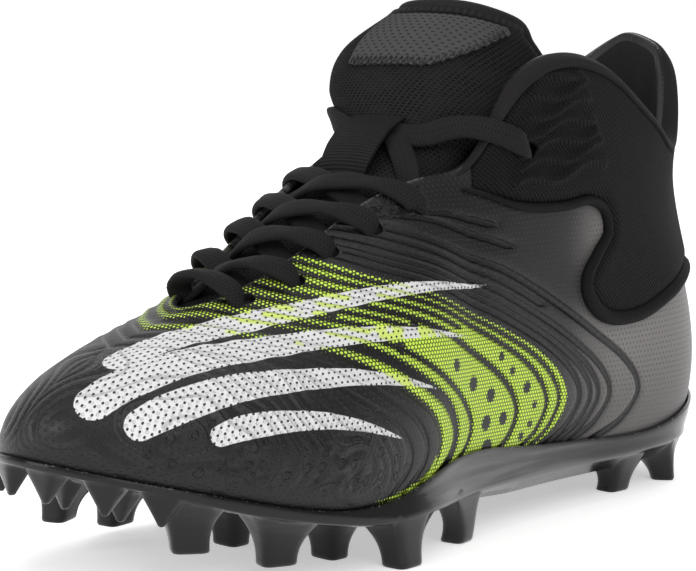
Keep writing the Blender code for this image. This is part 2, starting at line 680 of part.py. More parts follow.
def tongue_layer(name, shares, turns, stands):
    """A thin layer over the front of the tongue, standing off it by a height at each share."""
    rings = []
    for share, stand in zip(shares, stands):
        under = tongue_point(share, turns, -stand)
        over = tongue_point(share, turns[::-1], -stand - LAYER)
        rings.append(np.vstack([over, under]))
    layer = loft(name, rings, ends="blunt")
    paint(layer, name, (0.08, 0.08, 0.08), 0.7)
    return layer


def tongue_patch():
    """Plain label on the tongue's top."""
    return tongue_layer("tongue_patch", PATCH_SHARES, PATCH_TURNS, [GAP] * len(PATCH_SHARES))


def tongue_loop():
    """Webbing that keeps the laces on the tongue, arched over their top run."""
    shares, stands = zip(*LOOP_ROWS)
    return tongue_layer("tongue_loop", shares, LOOP_TURNS, stands)


# Laces

LACE_WIDTH = 6.4
LACE_THICKNESS = 3.0
LACE_STAND = LACE_THICKNESS / 2 + 1.1
LACE_SIDES = 6
LACE_POINTS = 11
LACE_SETTLING = 120
# How far a crossing starts inside the throat's edge, and the height that it settles from
THROAT_START = 7.0
BAR_PLACE = (EYELETS[0][0] + 2.5, EYELETS[0][1] - 1.0)
SETTLE_FROM = np.array([14.0, 0.0, 22.0])
# The top run under the loop: share of the way up the tongue, and turns across it
RUN_SHARE = 0.59
RUN_TURNS = np.linspace(0.4, -0.4, 5)


def nearest(trees, point):
    """Nearest place on the solids' surfaces, and the direction away from it."""
    found = [tree.find_nearest(Vector(point) * MM) for tree in trees]
    place, normal, _, _ = min(found, key=lambda hit: hit[3])
    place, normal = np.array(place) / MM, np.array(normal)
    away = point - place
    inside = away @ normal <= 0
    return place, normal if inside else unit(away), 0.0 if inside else np.linalg.norm(away)


def lay_lace(start, end, trees, count=LACE_POINTS):
    """Points of a lace pulled taut from start to end over the solids, clear of them."""
    share = np.linspace(0, 1, count)[:, None]
    points = start + (end - start) * share + SETTLE_FROM * 4 * share * (1 - share)
    for _ in range(LACE_SETTLING):
        points[1:-1] = (points[:-2] + points[2:]) / 2
        for i in range(1, count - 1):
            place, away, distance = nearest(trees, points[i])
            if distance < LACE_STAND:
                points[i] = place + away * LACE_STAND
    return points


def lace(name, points, trees, collection="field_shoe"):
    """A flat lace along points, lying on the surface that is nearest."""
    normals = np.array([nearest(trees, point)[1] for point in points])
    for _ in range(3):
        padded = np.vstack([normals[:1], normals, normals[-1:]])
        normals = unit(padded[:-2] + 2 * padded[1:-1] + padded[2:])
    strand = tube(name, points, normals, LACE_WIDTH / 2, LACE_THICKNESS / 2, LACE_SIDES, collection)
    paint(strand, "lace_weave", (0.025, 0.025, 0.025), 0.8)
    return strand


def eyelet_mouth(side, place, layer=0.0):
    """Middle of a lace that lies over an eyelet from outside."""
    share, height = find_on_form(side, *place)
    return skin(share, height, layer + LACE_STAND)


def throat_start(side, place, end, trees):
    """Where a lace comes out from under the throat's edge beside an eyelet, on its way to its end."""
    share, _ = find_on_form(side, *place)
    edge = form(share, 1.0)
    inside = edge + unit(end - edge) * THROAT_START
    place, away, _ = nearest(trees, inside)
    return place + away * LACE_STAND


def laces(shell, cuff, pad):
    """A bar at the toe end, four crossings, and the top run that passes under the loop to the cuff."""
    bpy.context.view_layer.update()
    graph = bpy.context.evaluated_depsgraph_get()
    pad_tree, shell_tree, cuff_tree = (BVHTree.FromObject(obj, graph) for obj in (pad, shell, cuff))
    trees = [pad_tree, shell_tree, cuff_tree]
    bar = lay_lace(eyelet_mouth(1, BAR_PLACE), eyelet_mouth(-1, BAR_PLACE), trees)
    lace("lace_bar", bar, trees)
    for number, (low, high) in enumerate(zip(EYELETS, EYELETS[1:]), start=1):
        strands = []
        for side, collection in ((1, "field_shoe"), (-1, "cutters")):
            end = eyelet_mouth(side, high)
            points = lay_lace(throat_start(-side, low, end, [pad_tree]), end, trees)
            name = f"lace_cross_{number}" + ("" if side > 0 else "_under")
            strands.append(lace(name, points, trees, collection))
        combine(*strands, "UNION")
    middle = tongue_point(RUN_SHARE, RUN_TURNS, -LACE_STAND)
    legs = []
    for side, joint in ((1, middle[0]), (-1, middle[-1])):
        end = eyelet_mouth(side, CUFF_EYELET, CUFF_LIFT + CUFF_THICKNESS)
        legs.append(lay_lace(end, joint, trees))
    run = np.vstack([legs[0][:-1], middle, legs[1][-2::-1]])
    top = lace("lace_top", run, trees)
    for side, joint in ((1, middle[1]), (-1, middle[-2])):
        points = lay_lace(throat_start(side, EYELETS[-1], joint, [pad_tree]), joint, trees, count=5)
        arm = lace(f"lace_top_arm_{'out' if side > 0 else 'in'}", points, trees, "cutters")
        combine(top, arm, "UNION")


def centre_on_floor():
    """Moves everything level, so that the shoe's box is centred over the origin."""
    bpy.context.view_layer.update()
    graph = bpy.context.evaluated_depsgraph_get()
    corners = []
    for obj in bpy.data.collections["field_shoe"].objects:
        corners += [obj.matrix_world @ Vector(corner) for corner in obj.evaluated_get(graph).bound_box]
    for axis in (0, 1):
        values = [corner[axis] for corner in corners]
        for obj in bpy.data.objects:
            obj.location[axis] -= (min(values) + max(values)) / 2


def main():
    fresh_scene()
    rods = list(eyelet_cutters())
    sole_plate()
    shell = upper(rods)
    insole()
    cuff = ankle_cuff(rods)
    cuff_piping()
    pad = tongue()
    tongue_patch()
    tongue_loop()
    laces(shell, cuff, pad)
    centre_on_floor()


main()
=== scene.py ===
"""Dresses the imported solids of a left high-cut field shoe for its picture.

Tables are in millimetres in the shoe's own frame, the scene is in metres: +X to the toe, +Y to the
outer side of the foot, +Z up, with the floor under the studs at Z = 0.
"""

import math

import bpy
import numpy as np
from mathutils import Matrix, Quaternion, Vector
from mathutils.bvhtree import BVHTree
from mathutils.kdtree import KDTree


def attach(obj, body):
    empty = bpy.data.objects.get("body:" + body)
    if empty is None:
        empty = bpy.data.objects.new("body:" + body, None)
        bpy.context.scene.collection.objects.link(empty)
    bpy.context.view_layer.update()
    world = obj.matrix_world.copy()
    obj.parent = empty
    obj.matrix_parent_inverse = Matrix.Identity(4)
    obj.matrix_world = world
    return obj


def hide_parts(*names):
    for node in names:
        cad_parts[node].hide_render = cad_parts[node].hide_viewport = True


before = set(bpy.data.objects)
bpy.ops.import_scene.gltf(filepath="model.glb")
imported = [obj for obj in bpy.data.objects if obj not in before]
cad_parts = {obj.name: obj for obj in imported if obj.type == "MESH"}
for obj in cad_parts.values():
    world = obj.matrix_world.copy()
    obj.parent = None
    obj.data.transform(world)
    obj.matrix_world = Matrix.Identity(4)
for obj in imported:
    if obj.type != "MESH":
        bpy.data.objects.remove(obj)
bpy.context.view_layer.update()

# Camera
# A studio camera on a long lens, a little above the toe, in front of the shoe's outer side. It is
# held almost level, with under a degree of roll.
CAMERA_AT = Vector((0.6532, 0.5877, 0.1975))
CAMERA_AIM = Vector((0.00816, -0.00891, 0.07328))
CAMERA_ROLL = math.radians(0.82)
SENSOR_WIDTH, CAMERA_LENS = 36.0, 149.6
bpy.ops.object.camera_add(location=CAMERA_AT)
camera = bpy.context.object
camera.data.sensor_width, camera.data.lens = SENSOR_WIDTH, CAMERA_LENS
camera.rotation_mode = "QUATERNION"
camera.rotation_quaternion = ((CAMERA_AIM - CAMERA_AT).to_track_quat("-Z", "Y")
                              @ Quaternion((0, 0, 1), CAMERA_ROLL))
bpy.context.scene.camera = camera

# Stud plate
# The outsole is one hard moulding of glossy polyurethane: a cupped plate, blade studs with flared
# roots and a row of toe teeth. It is black in front and smoky, half clear, under the arch and heel.
MM, WELD = 0.001, 1e-6
# Places from the tables are moved by this, which centres the shoe's box over the origin
CENTRED = np.array([1.4673, -1.6746, 0.0])
LENGTH, BALL_WIDTH, COLLAR_HEIGHT = 292.0, 104.0, 148.0
STUD_HEIGHT, GAP = 13.0, 0.3
FOOTBED_Z, HEEL_UNDERSIDE_Z = 17.5, 8.5
TOE_SPRING, SPRING_START_X, SPRING_RUN, SPRING_POWER = 19.0, 50.0, 88.0, 1.3
# One rib of the upper in each row, from the heel round the outer side to the toe and back: foot along
# and across, lean, rise, top along, across and up, crown, reach, plate's rim, its flare, collar's pad
RIBS = {
    "heel_back": (0.025, 0, 17, 46, 0.044, 0, 0.965, 108, 47, 13, 0, 1),
    "heel_tab_out": (0.042, 0.28, 17, 45, 0.049, 0.19, 0.915, 105, 44, 11, 0, 1),
    "heel_corner_out": (0.081, 0.48, 17, 43, 0.086, 0.37, 0.790, 101, 38, 8, 0, 1),
    "heel_out": (0.170, 0.61, 14, 40, 0.146, 0.53, 0.788, 99, 36, 3.5, 0, 1),
    "ankle_back_out": (0.288, 0.62, 11, 40, 0.218, 0.61, 0.875, 98, 40, 4.5, 0, 1),
    "ankle_out": (0.390, 0.64, 10, 42, 0.308, 0.64, 0.957, 97, 45, 6.5, 0.5, 1),
    "cuff_front_out": (0.483, 0.70, 10, 42, 0.424, 0.60, 0.890, 94, 43, 9.5, 1, 1),
    "cuff_corner_out": (0.528, 0.74, 11, 40, 0.462, 0.50, 0.765, 78, 36, 9.5, 2, 0.8),
    "instep_out": (0.570, 0.80, 13, 38, 0.504, 0.42, 0.736, 60, 32, 8, 3, 0.3),
    "eyestay_out": (0.648, 0.885, 16, 36, 0.582, 0.30, 0.692, 48, 30, 3.5, 3, 0),
    "ball_out": (0.733, 0.90, 20, 34, 0.658, 0.21, 0.605, 38, 28, 1, 1, 0),
    "toe_out": (0.836, 0.75, 18, 30, 0.736, 0.12, 0.534, 26, 28, 1, 0, 0),
    "toe_corner_out": (0.931, 0.33, 13, 25, 0.769, 0.02, 0.510, 20, 33, 1, 0, 0),
    "toe_tip": (0.973, -0.17, 9, 21, 0.774, -0.09, 0.501, 20, 33, 1, 0, 0),
    "toe_corner_in": (0.942, -0.52, 8, 20, 0.769, -0.19, 0.503, 22, 28, 1, 0, 0),
    "toe_in": (0.866, -0.76, 10, 23, 0.736, -0.29, 0.524, 29, 26, 1, 0, 0),
    "ball_in": (0.740, -0.87, 14, 30, 0.658, -0.37, 0.596, 41, 27, 1, 0, 0),
    "eyestay_in": (0.630, -0.80, 13, 35, 0.582, -0.40, 0.690, 50, 30, 3.5, 1, 0),
    "instep_in": (0.551, -0.72, 12, 38, 0.500, -0.47, 0.745, 62, 32, 8, 1.5, 0.3),
    "cuff_corner_in": (0.507, -0.67, 10, 41, 0.448, -0.55, 0.770, 80, 36, 10, 1, 0.8),
    "cuff_front_in": (0.459, -0.64, 9, 43, 0.406, -0.63, 0.890, 94, 43, 10, 0.5, 1),
    "ankle_in": (0.377, -0.61, 9, 43, 0.302, -0.66, 0.957, 97, 45, 7, 0, 1),
    "ankle_back_in": (0.281, -0.59, 10, 41, 0.220, -0.61, 0.905, 98, 40, 4.5, 0, 1),
    "heel_in": (0.170, -0.58, 13, 40, 0.146, -0.53, 0.850, 99, 37, 3.5, 0, 1),
    "heel_corner_in": (0.081, -0.46, 16, 43, 0.089, -0.38, 0.910, 101, 41, 8, 0, 1),
    "heel_tab_in": (0.042, -0.27, 17, 45, 0.050, -0.20, 0.970, 106, 46, 11, 0, 1),
}
CROWN_TURN, SLOPE_STEP, HALVINGS = 15.0, 0.004, 24


def unit(v):
    """Vectors of length one."""
    return v / np.maximum(np.linalg.norm(v, axis=-1, keepdims=True), 1e-9)


def smooth_step(low, high, value):
    """Eased rise from 0 at low to 1 at high."""
    t = np.clip((value - low) / (high - low), 0, 1)
    return t * t * (3 - 2 * t)


def footbed_z(x):
    """Height of the plate's top over the floor: level, and sprung up under the toes."""
    return FOOTBED_Z + TOE_SPRING * np.clip((x - SPRING_START_X) / SPRING_RUN, 0, None) ** SPRING_POWER


def closed_spline(shares, values):
    """A smooth closed curve through rows of values, to be read at shares of the way round."""
    t, y = np.append(shares, 1.0), np.vstack([values, values[:1]])
    gap, count = np.diff(t), len(values)
    slope = np.diff(y, axis=0) / gap[:, None]
    system = np.zeros((count, count))
    for i in range(count):
        system[i, i - 1] += gap[i - 1]
        system[i, i] += 2 * (gap[i - 1] + gap[i])
        system[i, (i + 1) % count] += gap[i]
    bend = np.linalg.solve(system, 6 * (slope - np.roll(slope, 1, axis=0)))
    bend = np.vstack([bend, bend[:1]])

    def read(share):
        share = np.asarray(share) % 1.0
        i = np.clip(np.searchsorted(t, share, side="right") - 1, 0, count - 1)
        step = (t[i + 1] - t[i])[..., None]
        a = (t[i + 1] - share)[..., None] / step
        b = 1 - a
        curve = (a**3 - a) * bend[i] + (b**3 - b) * bend[i + 1]
        return a * y[i] + b * y[i + 1] + curve * step**2 / 6

    return read


ALONG, ACROSS, LEAN, RISE, TOP_ALONG, TOP_ACROSS, TOP_UP, CROWN, REACH, *PLATE_SIZES = np.array(
    list(RIBS.values()), float).T
rib_foot = np.stack([(ALONG - 0.5) * LENGTH, ACROSS * BALL_WIDTH / 2], axis=1)
rib_foot = np.column_stack([rib_foot, footbed_z(rib_foot[:, 0]) + GAP])
rib_top = np.stack([(TOP_ALONG - 0.5) * LENGTH, TOP_ACROSS * BALL_WIDTH / 2, TOP_UP * COLLAR_HEIGHT],
                   axis=1)
steps = np.linalg.norm(np.diff(np.vstack([rib_foot, rib_foot[:1]])[:, :2], axis=0), axis=1)
SHARES = np.concatenate([[0], np.cumsum(steps)[:-1]]) / steps.sum()
PERIMETER = steps.sum()
along = np.roll(rib_foot, -1, axis=0) - np.roll(rib_foot, 1, axis=0)
outward = unit(np.stack([-along[:, 1], along[:, 0], 0 * along[:, 0]], axis=1))
UP = np.array([0.0, 0.0, 1.0])
lean, crown = np.radians(LEAN)[:, None], np.radians(CROWN)[:, None]
rib_lower = rib_foot + RISE[:, None] * (outward * np.sin(lean) + UP * np.cos(lean))
spread = unit((rib_foot - rib_top) * [1, 1, 0] + outward * CROWN_TURN)
rib_upper = rib_top + REACH[:, None] * (spread * np.cos(crown) - UP * np.sin(crown))
CURVES = [closed_spline(SHARES, handle) for handle in (rib_foot, rib_lower, rib_upper, rib_top)]
SIZES = closed_spline(SHARES, np.stack(PLATE_SIZES, axis=1))


def share_of(name):
    """Share of the way round the foot at a rib."""
    return SHARES[list(RIBS).index(name)]


TOE_SHARE = share_of("toe_tip")


def form(share, height):
    """Outer surface of the upper: share of the way round the foot, 0 at the sole to 1 at the edge."""
    a, b, c, d = (curve(share) for curve in CURVES)
    v = np.asarray(height)[..., None]
    return (1 - v) ** 3 * a + 3 * (1 - v) ** 2 * v * b + 3 * (1 - v) * v**2 * c + v**3 * d


def form_normal(share, height):
    """Direction straight out of the form."""
    share, height = np.broadcast_arrays(share, height)
    low, high = np.clip(height - SLOPE_STEP, 0, 1), np.clip(height + SLOPE_STEP, 0, 1)
    along = form(share + SLOPE_STEP, height) - form(share - SLOPE_STEP, height)
    return unit(np.cross(form(share, high) - form(share, low), along))


def skin(share, height, offset):
    """A point on the form moved out, or in where offset is negative, along its normal."""
    share, height = np.broadcast_arrays(share, height)
    offset = np.broadcast_to(offset, share.shape)
    return form(share, height) + form_normal(share, height) * offset[..., None]


def round_shares(steps):
    """Shares all the way round in pairs across the foot: heel, outer side, toe, inner side, heel."""
    out = TOE_SHARE * np.arange(steps + 1) / steps
    return np.concatenate([out, 1 - (1 - TOE_SHARE) * np.arange(steps - 1, -1, -1) / steps])


def height_where(share, highest, is_below):
    """Height up to which the form lies below a limit, found by halving."""
    low, high = np.zeros_like(share), np.full_like(share, highest)
    for _ in range(HALVINGS):
        middle = (low + high) / 2
        below = is_below(form(share, middle))
        low, high = np.where(below, middle, low), np.where(below, high, middle)
    return low


def level(points, z):
    """The same points at another height."""
    return np.concatenate([points[..., :2], np.broadcast_to(z, points.shape[:-1])[..., None]], axis=-1)


def sheet(name, points, pattern=None, fields=None, angle=40):
    """A grid with its vertices moved to rows of places in millimetres, and welded where they meet.
    It carries a UV map in millimetres and a number at each place for each named field."""
    rows, columns = points.shape[:2]
    bpy.ops.mesh.primitive_grid_add(x_subdivisions=columns - 1, y_subdivisions=rows - 1)
    piece = bpy.context.object
    mesh = piece.data
    piece.name = mesh.name = name
    mesh.vertices.foreach_set("co", ((points + CENTRED) * MM).astype(np.float32).ravel())
    if pattern is not None:
        corner = np.empty(len(mesh.loops), np.int32)
        mesh.loops.foreach_get("vertex_index", corner)
        layer = mesh.uv_layers.new(name="pattern")
        layer.uv.foreach_set("vector", pattern.reshape(-1, 2)[corner].astype(np.float32).ravel())
    for key, values in (fields or {}).items():
        attribute = mesh.attributes.new(key, "FLOAT", "POINT")
        attribute.data.foreach_set("value", values.astype(np.float32).ravel())
    bpy.ops.object.mode_set(mode="EDIT")
    bpy.ops.mesh.select_all(action="SELECT")
    bpy.ops.mesh.remove_doubles(threshold=WELD)
    bpy.ops.mesh.normals_make_consistent(inside=False)
    bpy.ops.object.mode_set(mode="OBJECT")
    bpy.ops.object.shade_smooth_by_angle(angle=math.radians(angle))
    return piece


def choose(*pieces):
    """Selects these pieces alone, with the first of them active."""
    bpy.ops.object.select_all(action="DESELECT")
    for piece in pieces:
        piece.select_set(True)
    bpy.context.view_layer.objects.active = pieces[0]


def apply_modifier(piece, kind, **settings):
    """Adds a modifier to a piece and applies it."""
    modifier = piece.modifiers.new(kind.lower(), kind)
    for key, value in settings.items():
        setattr(modifier, key, value)
    bpy.context.view_layer.objects.active = piece
    bpy.ops.object.modifier_apply(modifier=modifier.name)


def surface_tree(piece):
    """A tree for finding places on a piece's surface."""
    return BVHTree.FromObject(piece, bpy.context.evaluated_depsgraph_get())


def clothe(piece, finish):
    """Gives a piece this material alone."""
    piece.data.materials.clear()
    piece.data.materials.append(finish.material)


def dress(piece, finish, slot, *nodes):
    """Gives a piece its material, rides it on the shoe and hides the solids it stands for."""
    clothe(piece, finish)
    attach(piece, "root")
    if nodes:
        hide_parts(*nodes)


class Wire:
    """One socket of a material's nodes, which can be used in sums."""

    def __init__(self, finish, socket):
        self.finish, self.socket = finish, socket

    def math(self, operation, *others):
        """One sum of this wire and others."""
        names = ("Value", "Value_001", "Value_002")
        values = dict(zip(names, (self, *others)))
        return self.finish.add("Math", {"operation": operation}, **values)["Value"]

    def __add__(self, other):
        return self.math("ADD", other)

    def __sub__(self, other):
        return self.math("SUBTRACT", other)

    def __rsub__(self, other):
        return self.math("MULTIPLY_ADD", -1.0, other)

    def __mul__(self, other):
        return self.math("MULTIPLY", other)

    def __abs__(self):
        return self.math("ABSOLUTE")

    __radd__, __rmul__ = __add__, __mul__

    def rise(self, low, high):
        """Eased from 0 at low to 1 at high, or the other way where low is the higher."""
        values = {"Value": self, "From_Min": low, "From_Max": high}
        return self.finish.add("MapRange", {"interpolation_type": "SMOOTHSTEP"}, **values)["Result"]

    def wave(self, length):
        """A smooth wave from 0 to 1 and back over a length."""
        return (self * (2 * math.pi / length)).math("SINE") * 0.5 + 0.5


class Finish:
    """A material under construction."""

    def __init__(self, name):
        self.material = bpy.data.materials.new(name)
        self.material.use_nodes = True
        self.tree = self.material.node_tree
        self.shader = self.tree.nodes["Principled BSDF"]

    def add(self, kind, settings=None, **values):
        """A node of this kind with its settings and the values or links of its sockets."""
        node = self.tree.nodes.new("ShaderNode" + kind)
        for key, value in (settings or {}).items():
            setattr(node, key, value)
        self.connect(node, values)
        return {socket.identifier: Wire(self, socket) for socket in node.outputs}

    def connect(self, node, values):
        """Sets or links a node's sockets, named with underscores for spaces."""
        sockets = {socket.identifier.replace(" ", "_"): socket for socket in node.inputs}
        for key, value in values.items():
            if isinstance(value, Wire):
                self.tree.links.new(value.socket, sockets[key])
            else:
                sockets[key].default_value = value

    def surface(self, **values):
        """Sets or links the shader's own sockets."""
        self.connect(self.shader, values)

    def places(self, source="Object"):
        """x, y and z of Object coordinates in millimetres, or of the pattern's UV map."""
        if source == "Object":
            place = self.add("TexCoord")["Object"]
            place = self.add("VectorMath", {"operation": "SCALE"}, Vector=place, Scale=1000.0)["Vector"]
        else:
            place = self.add("UVMap", {"uv_map": "pattern"})["UV"]
        split = self.add("SeparateXYZ", Vector=place)
        return place, split["X"], split["Y"], split["Z"]

    def field(self, name):
        """One of the numbers that a sheet carries at its places."""
        return self.add("Attribute", {"attribute_name": name})["Fac"]

    def noise(self, place, size, detail=2.0, roughness=0.5):
        """Clouds from 0 to 1 of about this size in millimetres."""
        values = {"Scale": 1 / size, "Detail": detail, "Roughness": roughness}
        return self.add("TexNoise", Vector=place, **values)["Fac"]

    def fabric(self, size, **settings):
        """Places on the pattern's map, their x and y, and fibres of about this size."""
        place, x, y, _ = self.places("pattern")
        return place, x, y, self.noise(place, size, **settings)

    def mix(self, share, low, high):
        """A colour from low to high, each a wire, a colour or one number for a grey."""
        first, second = (value if isinstance(value, Wire) else (*np.broadcast_to(value, 3), 1)
                         for value in (low, high))
        values = {"Factor_Float": share, "A_Color": first, "B_Color": second}
        return self.add("Mix", {"data_type": "RGBA"}, **values)["Result_Color"]

    def relief(self, height):
        """A bump of this height in millimetres."""
        return self.add("Bump", Height=height, Strength=1.0, Distance=MM)["Normal"]

    def cover(self, share, low, high, roughness, shine, height, **more):
        """A covering with a colour from low to high, and this roughness, shine and relief."""
        self.surface(Base_Color=self.mix(share, low, high), Roughness=roughness,
                     Specular_IOR_Level=shine, Normal=self.relief(height), **more)

    def dots(self, x, y, pitch):
        """Distance to the nearest dot of a staggered grid."""
        found = []
        for shift in (0.0, 0.5):
            apart = []
            for value, step in ((x, pitch), (y, pitch * math.sqrt(3))):
                cell = value * (1 / step) + shift
                apart.append((cell - cell.math("ROUND")) * step)
            found.append((apart[0] * apart[0] + apart[1] * apart[1]).math("SQRT"))
        return found[0].math("MINIMUM", found[1])


PLATE_STEPS = 150
PLATE_INSET, CHINE_OUTSET, CHINE_DROP, TOE_EDGE = 6.0, 1.6, 3.0, 3.5
TOE_CHINE_RISE, TOE_CHINE_X = 1.8, (92.0, 122.0)
LEAST_RIM, RIM_CLEARANCE, RIM_THICKNESS, HIGHEST_RIM = 0.8, 0.45, 1.5, 0.6
ARCH_X, THIN_TOE_X = (-35.0, 25.0), (60.0, 125.0)
RIM_TURN, FLARE_AT_BED, FLARE_AT_TURN, RIM_TAPER = 0.55, 0.6, 0.2, 0.8
EDGE_ROUNDING, CORNER_ROWS, BED_SHARES = 0.22, 5, np.array([0.3, 0.65, 1.0])
TREAD_ROWS, TREAD_PITCH, TREAD_SLANT, TREAD_DEPTH = 28, 12.0, 0.8, 0.7
TREAD_MIDDLE, TREAD_SOFT, TREAD_EDGE = 0.04, 0.35, (0.08, 0.25)
# Tip of each stud along and across, its length and width, turn, drop below the plate and inward lean
STUDS = (
    (0.100, 0.44, 10, 8, 40, 8.5, 2), (0.100, -0.42, 10, 8, -40, 8.5, 2),
    (0.194, 0.44, 10, 8, 0, 8.5, -2.5), (0.194, -0.43, 10, 8, 0, 8.5, -2.5),
    (0.513, 0.69, 9, 8, 12, 0, -4.5), (0.510, -0.60, 9, 8, -12, 0, -4.5),
    (0.634, 0.88, 11, 9, 5, 13, 2), (0.630, -0.78, 11, 9, -5, 13, 1),
    (0.660, 0.46, 10, 8, 90, 13, 0), (0.700, -0.10, 10, 8, 90, 13, 0),
    (0.766, 0.62, 11, 8, -20, 13, -4), (0.745, -0.80, 11, 8, 8, 13, 1),
    (0.848, 0.42, 11, 8, -35, 13, -5), (0.838, -0.70, 11, 8, 22, 13, 1),
)
# The toe's teeth in the same order, all of one length and width
TOOTH_SIZE = (1.5, 1.8)
TEETH = (
    (0.922, -0.65, 55, 7, 0.3), (0.949, -0.38, 72, 7, 0.3), (0.955, -0.06, 95, 7, 0.3),
    (0.930, 0.25, 118, 7, 0.3), (0.894, 0.47, 130, 7, 0.3), (0.890, -0.32, 80, 8.5, 0),
    (0.882, 0.08, 100, 8.5, 0),
)
STUD_SIDES, ROOT_DEPTH, CORNER_POWER, INWARD_ALONG = 40, 1.5, 0.5, 0.35
STUD_FLARE, TOOTH_FLARE, ROOT_CLIMB = 0.75, 10.5, 1.0
# Power by which the flare dies away from the root, and the share of it that goes crosswise
STUD_SPREAD, TOOTH_SPREAD = (2.4, 1.0), (1.05, 0.6)
# Rows down the shank, then shares of the way down and growth that round off the tip
SHANK_SHARES, TIP_ROWS = np.linspace(0, 0.95, 13), ((0.985, -0.5), (1.0, -1.4), (1.0, -99.0))
# Sharpest edge in degrees that is shaded smooth, and how far off in metres a place still counts as on
# the plate
STUD_ANGLE, ON_PLATE = 38, 1e-4


def underside_z(x):
    """Underside of the plate: thin under ball and toe, thick under arch and heel."""
    arch = smooth_step(*ARCH_X, x) * (STUD_HEIGHT - HEEL_UNDERSIDE_Z)
    toe = smooth_step(*THIN_TOE_X, x) * (FOOTBED_Z - STUD_HEIGHT - TOE_EDGE)
    return HEEL_UNDERSIDE_Z + arch + toe + footbed_z(x) - FOOTBED_Z


def chine_z(x):
    """Height of the plate's lower outer edge, which comes up close under the rim at the toe."""
    return footbed_z(x) - CHINE_DROP + TOE_CHINE_RISE * smooth_step(*TOE_CHINE_X, x)


def plate_rings(share):
    """Rings of the plate from its underside out over the chine, up its side wall and in to the bed."""
    rim, flare, _ = SIZES(share).T
    flare = np.clip(flare, 0, None)
    foot = form(share, 0 * share)
    bed = foot[:, 2] - GAP
    rim_top = foot[:, 2] + np.maximum(rim, LEAST_RIM)
    edge = height_where(share, HIGHEST_RIM, lambda place: place[:, 2] < rim_top)
    outward = unit(form_normal(share, 0 * share) * [1, 1, 0])
    side = GAP + RIM_THICKNESS
    reaches = (flare - PLATE_INSET, flare + CHINE_OUTSET, side + flare * FLARE_AT_BED)
    levels = (underside_z(foot[:, 0]), chine_z(foot[:, 0]), bed)
    return [
        *(level(foot + outward * out[:, None], z) for out, z in zip(reaches, levels)),
        skin(share, edge * RIM_TURN, side + flare * FLARE_AT_TURN),
        skin(share, edge, GAP + RIM_THICKNESS * RIM_TAPER),
        skin(share, edge, RIM_CLEARANCE),
        level(foot + outward * RIM_CLEARANCE, bed),
    ]


def eased_corners(rings, share):
    """The same rings with each corner between the first and the last cut to a short round."""
    eased = [rings[0]]
    for before, here, after in zip(rings, rings[1:], rings[2:]):
        start, end = here + (before - here) * share, here + (after - here) * share
        eased += [(1 - t) ** 2 * start + 2 * t * (1 - t) * here + t**2 * end
                  for t in np.linspace(0, 1, CORNER_ROWS)]
    return [*eased, rings[-1]]


def closed_across(ring, shares):
    """Rows that close a ring towards the line midway between its two sides."""
    middle = (ring + ring[::-1]) / 2
    return [ring + (middle - ring) * share for share in shares]


def circle(sides, power):
    """Cosines and sines all the way round, pushed out towards a square where power is under 1."""
    turn = np.linspace(0, 2 * math.pi, sides + 1)
    return [np.sign(values) * np.abs(values) ** power for values in (np.cos(turn), np.sin(turn))]


def stud_sheet(row, spread):
    """One stud or tooth, from a root that follows the plate's underside to its rounded tip."""
    power, breadth = spread
    along, across, long, wide, turn, drop, inward = row
    tip = np.array([(along - 0.5) * LENGTH, across * BALL_WIDTH / 2, 0.0])
    root = tip - unit(np.array([INWARD_ALONG * tip[0], tip[1], 0])) * inward
    root[2] = underside_z(tip[0])
    tip[2] = root[2] - drop if drop else 0.0
    flare = STUD_FLARE * (root[2] - tip[2]) if spread == STUD_SPREAD else TOOTH_FLARE
    yaw = math.radians(turn)
    outline = np.stack(circle(STUD_SIDES, CORNER_POWER), axis=1) / 2

    def ring(share, growth):
        x, y = (outline * np.maximum([long + growth, wide + growth * breadth], 0)).T
        centre = root + (tip - root) * share
        return np.stack([centre[0] + x * math.cos(yaw) - y * math.sin(yaw),
                         centre[1] + x * math.sin(yaw) + y * math.cos(yaw),
                         np.full_like(x, centre[2])], axis=1)

    plain = ring(0, flare)
    foot = plain.copy()
    for place in foot:
        hit = under.ray_cast(Vector((*(place + CENTRED)[:2] * MM, -0.1)), Vector((0, 0, 1)))[0]
        if not hit:
            place[2] = footbed_z(place[0]) - ROOT_CLIMB
            hit = under.find_nearest(Vector((place + CENTRED) * MM))[0]
        place[:] = np.array(hit) / MM - CENTRED
    rings = [foot + (root - foot) * [0.5, 0.5, 0] + UP * ROOT_DEPTH]
    for share in SHANK_SHARES:
        rings.append(ring(share, flare * (1 - share) ** power) + (foot - plain) * (1 - share) ** 2)
        rings[-1][:, 2] = foot[:, 2] + (tip[2] - foot[:, 2]) * share
    rings += [ring(*tip_row) for tip_row in TIP_ROWS]
    rings.insert(0, np.broadcast_to(rings[0].mean(axis=0), rings[0].shape))
    return sheet("stud", np.array(rings))


corner_rings = plate_rings(round_shares(PLATE_STEPS))
rings = eased_corners(corner_rings, EDGE_ROUNDING)
inward = np.linspace(1, TREAD_MIDDLE, TREAD_ROWS)
tread = closed_across(rings[0], inward)
for row, share in zip(tread, inward):
    chevron = np.sin((row[:, 0] + TREAD_SLANT * np.abs(row[:, 1])) * 2 * math.pi / TREAD_PITCH)
    raised = smooth_step(-TREAD_SOFT, TREAD_SOFT, chevron)
    row[:, 2] -= TREAD_DEPTH * raised * smooth_step(*TREAD_EDGE, share)
